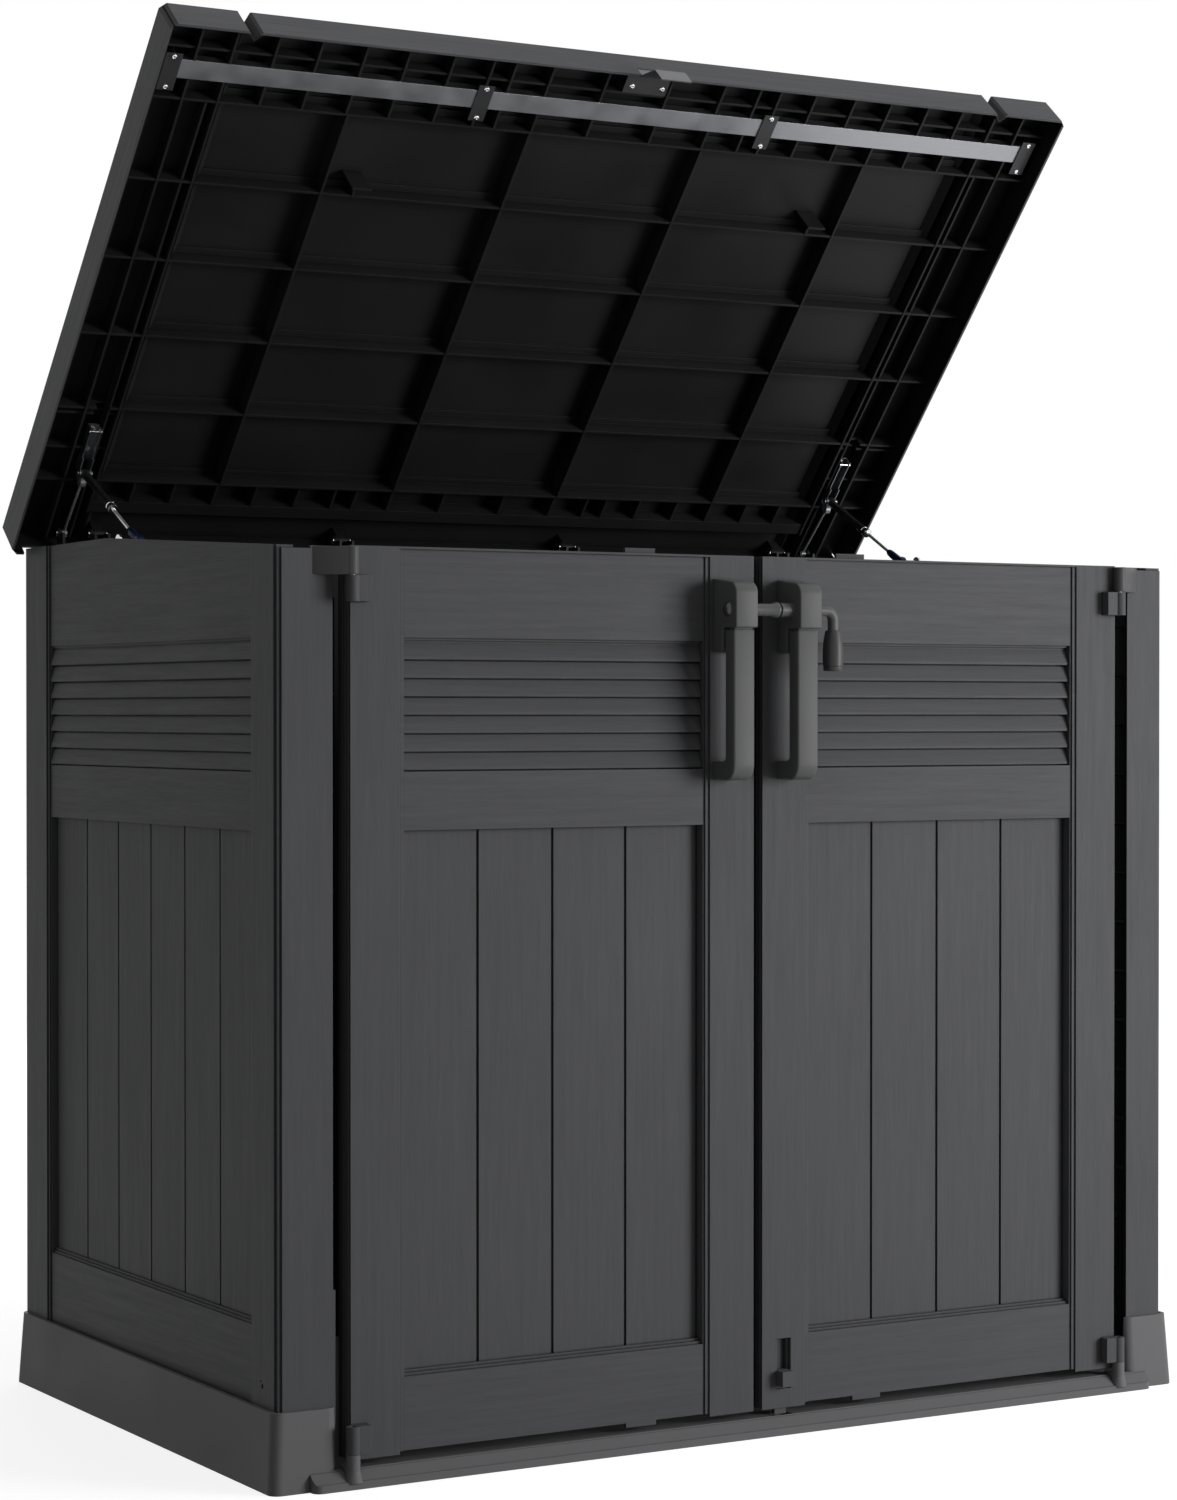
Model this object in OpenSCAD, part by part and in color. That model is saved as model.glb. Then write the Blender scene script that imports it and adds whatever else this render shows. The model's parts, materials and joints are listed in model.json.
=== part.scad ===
// Resin patio storage box with two louvred doors and a gas-sprung lid.
// Millimetres. X points right as seen from the front, Y to the back and Z up.
// The origin is on the ground, under the middle of the body.
// The box is drawn with its doors shut and its lid held open.

/* [Body] */
// Width across the two side panels
body_w = 1407; // [1300:1:1600]
// Depth from the front posts to the back panel's outer face
body_d = 841; // [800:1:920]
// Height of the side panels at the front, above the ground
front_h = 1175; // [1150:1:1250]
// How far the side panels' peak stands above their front
peak_rise = 32; // [24:1:32]
// How far the back edge stands above the front
back_rise = 29; // [20:1:29]
// Distance from the back face to the side panels' peak
peak_back = 286; // [240:1:330]
// Thickness of the side and back panels
panel_t = 26; // [24:1:30]
// Width of the left front post
post_w = 77.3; // [66:0.1:80]
// How much narrower the right front post is
post_less = 12.3; // [0:0.1:14]
// Wall of the front posts
post_wall = 6; // [4:1:8]
// How far the front posts reach back
post_depth = 62; // [50:1:80]
// Height from one post web to the next
web_pitch = 71; // [50:1:100]

/* [Base] */
// Height of the base's rim
rim_h = 101; // [80:1:115]
// Thickness of the rim's wall at its top
rim_t = 6.5; // [5:0.5:9]
// How far the rim's foot spreads beyond its top
rim_flare = 5.6; // [2:0.1:8]
// Radius of the rim's corners
rim_r = 14; // [8:1:20]
// Height of the floor's upper face
floor_z = 24; // [20:1:26]
// Thickness of the floor and of its ribs
floor_t = 4; // [3:0.5:6]
// How far the sill stands out in front of the posts
sill_out = 27.3; // [22:0.1:34]
// Height of the sill's front lip
sill_lip = 9.5; // [6:0.5:12]
// How far each end of the sill passes the post's inner edge
sill_over = 37.6; // [20:0.1:45]

/* [Doors] */
// Gap between the two doors
door_gap = 14; // [8:1:20]
// Gap between a door and its post
post_gap = 19.2; // [16:0.1:26]
// How far the doors stand out in front of the posts
door_out = 11; // [8:1:14]
// Thickness of a door
door_t = 34; // [30:1:38]
// Height of a door's lower edge above the ground
door_z = 33.5; // [30:0.5:36]
// Width of the doors' stiles
stile_w = 69; // [60:1:80]
// Planks in a door
door_planks = 4; // [3:1:6]

/* [Planks and louvres] */
// Height of the doors' lower rail, upper edge
plank_z0 = 130; // [120:1:150]
// Height of the top rail above the louvre
top_rail = 114; // [100:1:130]
// Height of the louvre
louvre_h = 169; // [140:1:190]
// Height of the middle rail between the louvre and the planks
mid_rail = 74; // [60:1:90]
// Slats in a louvre
slats = 7; // [5:1:9]
// Depth of the doors' planks and louvres behind their stiles
plank_deep = 17.5; // [14:0.5:19]
// Depth of the side panels' planks and louvres behind their stiles
side_deep = 12.4; // [10:0.1:13]
// Depth of the rails behind the stiles
rail_deep = 4.4; // [2:0.1:5]
// Width of each step beside a stile
step_w = 5.8; // [4:0.1:7]
// Distance from a stile to the planks and louvres
field_in = 8.5; // [7.5:0.1:12]
// Height of each step of the ledge below the planks
ledge_h = 3.4; // [2:0.1:5]
// Width of the grooves between planks
groove_w = 4; // [2:0.5:6]
// Depth of the grooves between planks
groove_d = 3; // [2:0.5:4]
// Planks in a side panel
side_planks = 6; // [4:1:8]
// Width of the side panels' front stile
side_stile_f = 72.5; // [60:0.5:80]
// Width of the side panels' back stile
side_stile_b = 78; // [60:1:90]
// Height of the side panels' lower rail, upper edge
side_z0 = 198; // [180:1:220]

/* [Lid] */
// How far the lid passes each side panel
lid_side = 26; // [22:1:32]
// How far the closed lid passes the posts in front
lid_nose = 18.5; // [17:0.5:26]
// How far the lid passes its hinge axis at the back
lid_tail = 20; // [18:1:24]
// Depth of the lid's skirt
skirt = 54; // [50:1:58]
// Wall of the lid's skin and skirt
lid_t = 4; // [3:0.5:5]
// Thickness of the lid's ribs
rib_t = 3.5; // [2.5:0.5:5]
// Depth of the rib tips below the lid's top face
rib_n = 31; // [28:1:32]
// Distance between the lid's two middle ribs
cell_w = 285; // [240:1:300]
// Distance from the lid's front edge to its first cross rib
row_first = 124; // [116:1:140]
// Distance from the lid's back edge to its last cross rib
row_last = 120; // [110:1:140]
// Cross ribs
rows = 6; // [4:1:8]
// How far the lid stands open from level, in degrees
open_deg = 48.89; // [40:0.1:52]
// How far the shut lid slopes down to the front, in degrees
shut_deg = 1.6; // [1.3:0.1:1.7]
// Width of the V grooves across the lid
vee_w = 22; // [14:1:28]
// Distance from the lid's side edge to a V groove
vee_in = 120; // [112:1:140]

/* [Lid stay] */
// Diameter of the gas strut's cylinder
strut_d = 12; // [10:0.5:13]
// Diameter of the gas strut's rod
rod_d = 5; // [4:0.5:6]
// Distance of each strut from the side panel's outer face
strut_in = 57.5; // [54:0.5:66]
// Distance from the back face to the strut's lower pivot
stay_back = 278; // [270:1:286]

/* [Handles and lock] */
// Width of a handle's mount
mount_w = 34.8; // [30:0.1:40]
// Width of a handle's grip
grip_w = 33; // [28:1:38]
// How far a mount stands out from its door
mount_out = 55; // [50:1:60]
// Thickness of a handle's grip
grip_t = 20; // [16:1:24]
// Depth of the lock rod's axis below the doors' top
lock_drop = 72.5; // [68:0.5:76]
// Diameter of the lock's guide sleeves
sleeve_d = 16.8; // [15.5:0.1:20]
// Diameter of the lock's sliding rod
bolt_d = 12.3; // [10:0.1:13]
// Length of a handle's grip
grip_len = 198; // [160:1:220]
// Travel of the lock's sliding rod
bolt_travel = 17.5; // [12:0.5:22]

/* [Slide bolt] */
// Width of the slide bolt
foot_bolt_w = 18.5; // [16:0.5:22]
// Upward travel of the slide bolt
foot_bolt_up = 40; // [30:1:42]

/* [Fits] */
// Gap between a panel and the base or panel that it slots into
seat_gap = 0.4; // [0.2:0.1:1]
// Running clearance on the radius of a pin
run_gap = 0.05; // [0.03:0.01:0.1]
// Gap between faces that move past each other
face_gap = 0.5; // [0.3:0.1:1]

/* [Hidden] */
$fn = 48;
eps = 0.01;

// Faces of the body
half_w = body_w / 2;
front_y = -body_d / 2;
corner_step = 3;
foot_z = 247;
back_y = body_d / 2;
back_h = front_h + back_rise;
peak_h = front_h + peak_rise;
peak_y = back_y - peak_back;
post_x = half_w - post_w;
inner_x = half_w - panel_t;

// Rim of the base
rim_in_x = half_w + seat_gap;
rim_in_f = front_y - seat_gap;
rim_in_b = back_y + seat_gap;
rim_top_x = rim_in_x + rim_t;
rim_top_f = rim_in_f - rim_t;
rim_top_b = rim_in_b + rim_t;
block_x = post_x - 3.3;
block_less = 8;
rib_pitch = 120;
pad_r = 70;

// Sill
sill_y = front_y - sill_out;
sill_x = post_x + sill_over;
sill_step = 15;
sill_r = 11;
socket_w = 34;
socket_d = 20;

// Doors
door_y = front_y - door_out;
door_x0 = door_gap / 2;
door_x1 = post_x - post_gap;
door_top = front_h + 1;
rail_lift = 3.5;
tab_w = 46;
tab_h = 8;
tab_x = door_x0 + 161;
tab_y = 27;
tab_t = 5;
lug_x = door_x0 + 173;
lug_drop = 2.5;
edge_groove_w = 4;
edge_groove_d = 3;
edge_pitch = 8.3;
pocket = 6;
pocket_rib = 5;

// Door hinges
barrel_r = 8.7;
hinge_out = 9;
hinge_x = door_x1 + 1;
hinge_yd = door_y - hinge_out;
pin_r = 4;
boss_z = 43.5;
barrel_lo = 34.5;
barrel_up_z = front_h - 69;
barrel_up = 32.5;
block_z0 = barrel_up_z + barrel_up + face_gap;
block_z1 = front_h - 1;
block_flat = 31;
leaf_w = 48;
leaf_t = 4;
hinge_back = front_y - hinge_yd;
pin_in = 20;

// Louvre and plank fields
louvre_z1 = door_top - top_rail;
louvre_z0 = louvre_z1 - louvre_h;
plank_z1 = louvre_z0 - mid_rail;
top_margin = 2.7;
louvre_step = 3;
slat_back = 4;
slat_lean = 0.34;
slat_lip = 3;
slat_gap = 2;

// Lid, as distances s from its front edge, across it, and n below its top face
lid_axis_back = 0.5;
lid_axis_up = 24;
lid_top = 27;
hinge_y = back_y + lid_axis_back;
hinge_z = back_h + lid_axis_up;
lid_front = body_d + lid_axis_back + lid_nose;
lid_len = lid_front + lid_tail;
lid_x = half_w + lid_side;
lid_bevel = 3;
lid_corner = 9;
tail_n = 38;
tail_leg = 20;
rail_in = 108.5;
rail_x = lid_x - rail_in;
side_rib_in = 57.5;
side_rib_x = lid_x - side_rib_in;
row_s1 = lid_len - row_last;
row_gap = (row_s1 - row_first) / (rows - 1);
row_foot = 11;
row_foot_n = 8;
band_s = 47;
band_s1 = row_s1 + 39;
band_x = [52, 141, 201, 236, 297, 366, 430, 497, 560];
vee_x = lid_x - vee_in;
vee_d = vee_w / 2;
corridor_in = 10;
corridor_n = 15;
corridor_len = 180;
side_row = 61;
side_row_back = 54;
hook_x = 379;
hook_back = 101;
hook_s = row_first + hook_back;
hook_n = 50;
hook_w = 30;

// Stiffening bar across the lid's front
beam_x = lid_x - 29.5;
beam_s0 = 65;
beam_w = 28;
beam_n0 = vee_d + lid_t + seat_gap;
beam_n1 = 30;
strap_w = 24;
strap_t = 2;
strap_s0 = beam_s0 - 9;
strap_s1 = beam_s0 + beam_w + 19;
strap_mid = 235;
strap_end = beam_x + 2;
strap_x = [-strap_end, -strap_mid, strap_mid, strap_end];
boss_r = 5;
screw_r = 2;
head_r = 4;
head_t = 2.2;

// Lid hinge
knuckle_in = 109.5;
knuckle_x = [198, half_w - knuckle_in];
knuckle_w = 16;
ear_t = 4;
ear_r = 8;
lid_pin_r = 4;

// Lid stay: upper pivot a on the lid, lower pivot b on the body
strut_x = half_w - strut_in;
stay_top = 135;
a_s = lid_len - stay_top;
a_n = 34;
b_y = back_y - stay_back;
b_z = front_h + 29;
channel_w = strut_d + 5;
channel_t = 1.5;
channel_len = 75;
channel_s0 = a_s - channel_len;
channel_screw = 8;
channel_pitch = 34;
eye_r = 6;
eye_pin_r = 2.5;
collar_u = 120;
collar_w = 6;
fitting_len = 39;
fitting_r = 5.5;
stroke_room = 100;
rod_in = 30;
arm_r = 2;
arm_s = a_s + 16;
stud_r = 4;

// Lid latch
latch_x0 = -19;
latch_x1 = 30.4;
latch_t = 2;
latch_s = 0.8;
latch_s1 = -24;
latch_n0 = 38;
latch_n1 = 79;
latch_n2 = 103;
latch_screw_s = band_s - 13;
bracket_x0 = -22;
bracket_x1 = 49.5;
bracket_s = 18;
bracket_n = 28;

// Handles
handle_x = 48.6;
left_mount_x = -53.1;
lock_z = door_top - lock_drop;
mount_z0 = lock_z - 24.1;
mount_z1 = lock_z + 41.5;
mount_drop = 5.5;
mount_nose = 10;
mount_leg = 22;
mount_leg_z = mount_z0 - 32.4;
grip_z1 = mount_z0 - 3.4;
grip_z0 = grip_z1 - grip_len;
grip_in = 5;
grip_foot = 25;
grip_nose = 22;
mount_edge = 3;
grip_edge = 7;

// Lock
lock_y = door_y - 35;
meet_x = 8;
catch_gap = 1;
bolt_nose = meet_x + 1;
bolt_out = bolt_travel + face_gap;
elbow_r = 14;
lever_z = 30;
lock_grip_r = 12.75;
lock_grip_len = 54.5;
button_r = 9.8;
button_t = 6;
button_ball = (button_r * button_r + button_t * button_t) / (2 * button_t);

// Slide bolt
slot_x0 = 30;
slot_x1 = 53;
knob_h = 20.5;
slot_z0 = 64;
slot_low = 5;
slot_z1 = slot_z0 + knob_h + foot_bolt_up + 2.5;
slot_d = 5;
foot_bolt_t = 6;
foot_bolt_x = (slot_x0 + slot_x1) / 2 - 2;
foot_bolt_z = floor_z + face_gap;
knob_out = 15;
keeper_w = 30;

function y_s(s) = s - lid_front;
function z_n(n) = lid_top - n;
function from_lid(y, z, deg) = [hinge_y + y * cos(deg) - z * sin(deg), hinge_z + y * sin(deg)
    + z * cos(deg)];

a_open = from_lid(y_s(a_s), z_n(a_n), -open_deg);
a_shut = from_lid(y_s(a_s), z_n(a_n), shut_deg);
b_at = [b_y, b_z];
strut_open = norm(b_at - a_open);
strut_shut = norm(b_at - a_shut);
strut_deg = atan2(b_z - a_open[1], b_y - a_open[0]);

echo(hinge_y = hinge_y, hinge_z = hinge_z, a_open = a_open, a_shut = a_shut, b = b_at);
echo(strut_open = strut_open, strut_shut = strut_shut);
echo(hinge_x = hinge_x, hinge_yd = hinge_yd, strut_x = strut_x, lock_y = lock_y);

// A box between two corners
module block(a, b) {
    translate(a) cube(b - a);
}

// A box on the lid, given by x, s and n
module lid_block(x0, x1, s0, s1, n0, n1) {
    block([x0, y_s(s0), z_n(n1)], [x1, y_s(s1), z_n(n0)]);
}

module on_lid() {
    translate([0, hinge_y, hinge_z]) rotate([-open_deg, 0, 0]) children();
}

module both() {
    children();
    mirror([1, 0, 0]) children();
}

// A cylinder along X from x0 to x1
module rod_x(x0, x1, r) {
    translate([x0, 0, 0]) rotate([0, 90, 0]) cylinder(r = r, h = x1 - x0);
}

// An outline in Y and Z drawn out along X
module drawn_x(x0, x1) {
    translate([x0, 0, 0]) rotate([90, 0, 90]) linear_extrude(x1 - x0) children();
}

// Cutter for the middle of a wall between two stiles, stepped down on both sides
module middle_cut(x0, x1, z0, z1) {
    block([x0, -eps, z0], [x1, rail_deep / 2, z1]);
    block([x0 + step_w, -eps, z0], [x1 - step_w, rail_deep, z1]);
}

// Cutter for a plank field with a stepped ledge at its foot and grooves between its planks
module plank_cut(x0, x1, z0, z1, planks, deep) {
    pitch = (x1 - x0 - groove_w) / planks;
    for (k = [0:2])
        block([x0, -eps, z0 + k * ledge_h], [x1, rail_deep + (k + 1) * (deep - rail_deep) / 3, z1]);
    for (k = [0:planks])
        block([x0 + k * pitch, deep - eps, z0 + 2 * ledge_h],
            [x0 + k * pitch + groove_w, deep + groove_d, z1]);
}

// Cutter for a louvre, its top edge in three small steps
module louvre_cut(x0, x1, z0, z1, deep) {
    for (k = [0:2])
        block([x0, -eps, z0], [x1, rail_deep + (k + 1) * (deep - rail_deep) / 3, z1 - k * louvre_step]);
}

// Louvre slats that lean out towards their lower edges
module louvre_slats(x0, x1, z0, z1, deep) {
    pitch = (z1 - z0) / slats;
    top = deep - slat_back;
    lip = top - slat_lean * deep;
    teeth = [for (k = [0:slats - 1], p = [[deep - 1, slat_gap], [lip, slat_gap], [lip, slat_gap + slat_lip],
        [top, pitch], [deep - 1, pitch]]) [p[0], z0 + k * pitch + p[1]]];
    drawn_x(x0, x1) polygon(concat(teeth, [[deep + eps, z1], [deep + eps, z0 + slat_gap]]));
}

// A framed wall with planks below and a louvre above, its face looking along -Y at y = 0
module framed_face(x0, x1, z_top, z0, planks, deep) {
    difference() {
        children();
        middle_cut(x0, x1, 0, z_top);
        plank_cut(x0 + field_in, x1 - field_in, z0, plank_z1, planks, deep);
        louvre_cut(x0 + field_in, x1 - field_in, louvre_z0, louvre_z1, deep);
    }
    louvre_slats(x0 + field_in - eps, x1 - field_in + eps, louvre_z0, louvre_z1 - 2 * louvre_step, deep);
}

// Shallow pockets in a grid on the inner face of a wall
module pockets(x0, x1, z0, z1, nx, nz, y0, y1) {
    px = (x1 - x0) / nx;
    pz = (z1 - z0) / nz;
    for (i = [0:nx - 1], k = [0:nz - 1])
        block([x0 + i * px + pocket_rib / 2, y0, z0 + k * pz + pocket_rib / 2],
            [x0 + (i + 1) * px - pocket_rib / 2, y1, z0 + (k + 1) * pz - pocket_rib / 2]);
}

// Outline of the base, spread by d beyond the rim's top
module rim_outline(d) {
    x = rim_top_x + d - rim_r;
    for (sx = [-1, 1], y = [rim_top_f - d + rim_r, rim_top_b + d - rim_r])
        translate([sx * x, y]) circle(r = rim_r, $fn = 32);
}

module rim_solid() {
    hull() {
        linear_extrude(floor_t) rim_outline(rim_flare);
        translate([0, 0, rim_h - 1]) linear_extrude(1) rim_outline(0);
    }
}

// Side of the sill, drawn in Y and Z
module sill_profile() {
    polygon([[front_y + post_wall, 0], [sill_y, 0], [sill_y, sill_lip], [sill_y + 3, sill_lip + 1],
        [sill_y + sill_step, floor_z - 2], [front_y + post_wall, floor_z]]);
}

module base() {
    color([0.33, 0.33, 0.34]) difference() {
        union() {
            base_body();
            sill();
            both() lower_hinge_boss();
        }
        // Socket of the slide bolt, right through the sill
        block([foot_bolt_x - socket_w / 2, door_y, -1],
            [foot_bolt_x + socket_w / 2, door_y + socket_d, floor_z + 1]);
    }
}

module base_body() {
    difference() {
        rim_solid();
        // Space inside the rim
        block([-rim_in_x, rim_in_f, floor_z], [rim_in_x, rim_in_b, rim_h + eps]);
        // Doorway between the front blocks
        block([-block_x, rim_top_f - rim_flare - 1, floor_z],
            [block_x + block_less, rim_in_f + 1, rim_h + eps]);
        mirror([1, 0, 0]) block_round(block_x);
        block_round(block_x + block_less);
        // Hollow under the floor
        base_cells();
    }
}

// Cutter that rounds the inner edge of a front block beside the doorway at x
module block_round(x) {
    difference() {
        block([x - 1, rim_top_f - rim_flare - 1, floor_z], [x + rim_r, rim_in_f + 1, rim_h + 1]);
        hull() for (k = [0, 1])
            translate([x, rim_top_f - rim_flare * (1 - k), k * rim_h]) {
                translate([rim_r, rim_r]) cylinder(r = rim_r, h = 1 + k);
                translate([0, rim_r]) cube([rim_r, rim_r, 1 + k]);
            }
    }
}

// The sill across the doorway, its front corners rounded
module sill() {
    difference() {
        intersection() {
            drawn_x(-sill_x, sill_x) sill_profile();
            linear_extrude(floor_z + 1) union() {
                translate([-sill_x + sill_r, sill_y])
                    square([2 * (sill_x - sill_r), front_y - sill_y + post_wall]);
                translate([-sill_x, sill_y + sill_r])
                    square([2 * sill_x, front_y - sill_y + post_wall - sill_r]);
                for (side = [-1, 1])
                    translate([side * (sill_x - sill_r), sill_y + sill_r]) circle(r = sill_r);
            }
        }
        // Space behind the sill's face, on both sides of the bolt's socket
        block([-block_x + floor_t, sill_y + floor_t, -eps], [-keeper_w, front_y - 4, sill_lip - 3]);
        block([keeper_w + slot_x1, sill_y + floor_t, -eps], [block_x - floor_t, front_y - 4, sill_lip - 3]);
    }
}

// Cells between the ribs under the floor
module base_cells() {
    nx = floor((rim_in_x - rim_t) * 2 / rib_pitch);
    ny = floor((rim_in_b - rim_in_f - 2 * rim_t) / rib_pitch);
    x0 = -rim_in_x + rim_t;
    y0 = rim_in_f + rim_t + post_wall;
    px = -2 * x0 / nx;
    py = (rim_in_b - rim_t - y0) / ny;
    difference() {
        for (i = [0:nx - 1], k = [0:ny - 1])
            block([x0 + i * px + floor_t / 2, y0 + k * py + floor_t / 2, -1],
                [x0 + (i + 1) * px - floor_t / 2, y0 + (k + 1) * py - floor_t / 2, floor_z - floor_t]);
        translate([0, 0, -2]) cylinder(r = pad_r, h = floor_z + 4);
    }
}

// Lower door hinge: a boss on the sill that carries the pin
module lower_hinge_boss() {
    difference() {
        union() {
            translate([hinge_x, hinge_yd, sill_lip - 1])
                cylinder(r = barrel_r, h = boss_z - face_gap - sill_lip + 1);
            translate([hinge_x, hinge_yd, sill_lip - 1])
                cylinder(r1 = barrel_r + 3.5, r2 = barrel_r, h = 14);
            block([hinge_x - barrel_r, hinge_yd, sill_lip - 1], [hinge_x + barrel_r, front_y, floor_z + 4]);
        }
        translate([hinge_x, hinge_yd, boss_z - pin_in]) cylinder(r = pin_r, h = pin_in + 1);
    }
}

// Side outline of a side panel, in Y and Z
module panel_outline() {
    polygon([[front_y, floor_z], [back_y, floor_z], [back_y, back_h], [peak_y, peak_h],
        [front_y, front_h]]);
}

// A side panel on the right with its front post, whose inner edge stands at px and whose foot is wider
// by more
module side_panel(px, more) {
    wy0 = front_y + side_stile_f;
    wy1 = back_y - side_stile_b;
    difference() {
        union() {
            // The wall faces +X, so it is drawn facing -Y and turned
            translate([half_w, 0, 0]) rotate([0, 0, 90])
                framed_face(wy0, wy1, peak_h + 1, side_z0, side_planks, side_deep)
                    rotate([90, 0, 0]) mirror([0, 0, 1]) linear_extrude(panel_t) panel_outline();
            // Front wall of the post
            block([px, front_y, floor_z], [half_w - 1, front_y + post_wall, front_h]);
            // Webs behind the post's front wall
            for (z = [floor_z : web_pitch : front_h - post_wall])
                block([px + 2, front_y + post_wall - 1, z], [inner_x + 1, front_y + post_depth, z + 3]);
            // Flange at the back of the webs
            block([px + 2, front_y + post_depth - 3, floor_z],
                [px + 5, front_y + post_depth, front_h - post_wall]);
            post_foot(px, more);
        }
        pocket_cuts();
        // Stepped bead down the front corner
        block([half_w - corner_step, front_y - 1, floor_z - 1], [half_w + 1, front_y + 8.5, front_h + 1]);
        block([half_w - 2.5 * corner_step, front_y - 1, floor_z - 1],
            [half_w + 1, front_y + corner_step, front_h + 1]);
        // The post's top is lower beside the hinge
        block([hinge_x + leaf_w, front_y - 1, front_h - 3.5],
            [half_w + 1, front_y + post_wall, front_h + 1]);
        // Drain and fixing hole low on the panel
        translate([0, front_y + 42, rim_h + 26]) rod_x(half_w - 8, half_w + 1, 3);
        translate([0, front_y + 47, rim_h + 32]) rod_x(half_w - 8, half_w + 1, 1.5);
    }
}

// Closed inner side of a post's foot, with two grooves down it
module post_foot(px, more) {
    difference() {
        block([px - more, front_y, floor_z], [px + post_wall, front_y + post_wall + 15, foot_z]);
        for (k = [0, 1])
            block([px - more - 1, front_y + 0.5 + k * edge_pitch, floor_z - 1],
                [px - more + edge_groove_d, front_y + 0.5 + edge_groove_w + k * edge_pitch, foot_z + 1]);
    }
}

// Pockets on a side panel's inner face
module pocket_cuts() {
    ny = 5;
    nz = 7;
    y0 = front_y + post_depth + 6;
    y1 = back_y - panel_t - 8;
    z0 = rim_h + 10;
    z1 = front_h - 60;
    for (i = [0:ny - 1], k = [0:nz - 1])
        block([inner_x - eps, y0 + i * (y1 - y0) / ny + pocket_rib / 2, z0 + k * (z1 - z0)
            / nz + pocket_rib / 2],
            [inner_x + pocket, y0 + (i + 1) * (y1 - y0) / ny - pocket_rib / 2,
                z0 + (k + 1) * (z1 - z0) / nz - pocket_rib / 2]);
}

module left_panel() {
    color([0.27, 0.27, 0.28]) mirror([1, 0, 0]) side_panel(post_x, 3.3);
}

module right_panel() {
    color([0.27, 0.27, 0.28]) side_panel(post_x + post_less, 0);
}

module back_panel() {
    x = inner_x - seat_gap;
    y = back_y - panel_t;
    cols = 10;
    color([0.27, 0.27, 0.28]) difference() {
        block([-x, y, floor_z], [x, back_y, back_h]);
        // Shallow vertical planks outside
        for (k = [0:cols])
            block([-x + 40 + k * (2 * x - 80) / cols - groove_w / 2, back_y - groove_d, rim_h + 40],
                [-x + 40 + k * (2 * x - 80) / cols + groove_w / 2, back_y + eps, back_h - 60]);
        pockets(-x + 20, x - 20, rim_h + 10, back_h - 60, 9, 7, y - eps, y + pocket);
    }
}

// Fixed block of an upper door hinge, on the front post
module upper_hinge() {
    color([0.3, 0.3, 0.31]) difference() {
        union() {
            translate([hinge_x, hinge_yd, block_z0]) cylinder(r = barrel_r, h = block_z1 - block_z0);
            block([hinge_x, hinge_yd - barrel_r, block_z0], [hinge_x + block_flat, hinge_yd + 5, block_z1]);
            // Leaf that tapers onto the post
            translate([hinge_x, hinge_yd, block_z0]) linear_extrude(block_z1 - block_z0)
                polygon([[1, 0], [block_flat, 0], [leaf_w, hinge_back - leaf_t], [leaf_w, hinge_back],
                    [1, hinge_back]]);
        }
        translate([hinge_x, hinge_yd, block_z0 - 1]) cylinder(r = pin_r, h = pin_in + 1);
    }
}

module upper_hinge_left() {
    mirror([1, 0, 0]) upper_hinge();
}

module upper_hinge_right() {
    upper_hinge();
}

// Fixed pins of the two doors
module hinge_pins() {
    color([0.6, 0.6, 0.62]) both() {
        translate([hinge_x, hinge_yd, boss_z - pin_in]) cylinder(r = pin_r, h = pin_in + barrel_lo - 4);
        translate([hinge_x, hinge_yd, barrel_up_z + 4])
            cylinder(r = pin_r, h = barrel_up + face_gap + pin_in - 4);
    }
}

// Brackets on the back edge: a pair of ears for each knuckle of the lid
module lid_hinge_brackets() {
    color([0.2, 0.2, 0.21]) both() {
        for (x = knuckle_x, side = [-1, 1])
            ear(x + side * (knuckle_w / 2 + face_gap) + (side < 0 ? -ear_t : 0));
        ear(strut_x + 6);
    }
}

// One ear round the lid's axis, standing on the back panel's top edge
module ear(x0) {
    difference() {
        union() {
            translate([0, hinge_y, hinge_z]) rod_x(x0, x0 + ear_t, ear_r);
            block([x0, back_y - panel_t + 4, back_h], [x0 + ear_t, back_y, hinge_z]);
        }
        translate([0, hinge_y, hinge_z]) rod_x(x0 - 1, x0 + ear_t + 1, lid_pin_r + run_gap);
        // Room for the lid's tail
        translate([0, hinge_y, hinge_z]) rotate([-open_deg, 0, 0])
            block([x0 - 1, lid_tail - lid_t - 4, -lid_top], [x0 + ear_t + 1, lid_tail, lid_top]);
    }
}

module lid_hinge_pins() {
    color([0.7, 0.7, 0.72]) both() {
        for (x = knuckle_x) {
            reach = knuckle_w / 2 + face_gap + ear_t;
            translate([0, hinge_y, hinge_z]) {
                rod_x(x - reach, x + reach, lid_pin_r);
                rod_x(x - reach - 2, x - reach, lid_pin_r + 2);
                rod_x(x + reach, x + reach + 2, lid_pin_r + 2);
            }
        }
        translate([0, hinge_y, hinge_z]) {
            rod_x(strut_x - 5, strut_x + 6 + ear_t, lid_pin_r - 1);
            rod_x(strut_x + 6 + ear_t, strut_x + 8 + ear_t, lid_pin_r + 1);
        }
    }
}

// Stud on the side panel for the strut's lower end
module strut_stud() {
    tip = strut_x + fitting_r + face_gap;
    color([0.75, 0.76, 0.78]) {
        block([inner_x - 3, b_y - 20, b_z - 60], [inner_x, b_y + 20, b_z - 4]);
        translate([0, b_y, b_z]) {
            rod_x(tip, inner_x, stud_r);
            rod_x(inner_x - 3, inner_x, 9);
        }
    }
}

module strut_stud_left() {
    mirror([1, 0, 0]) strut_stud();
}

module strut_stud_right() {
    strut_stud();
}

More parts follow.
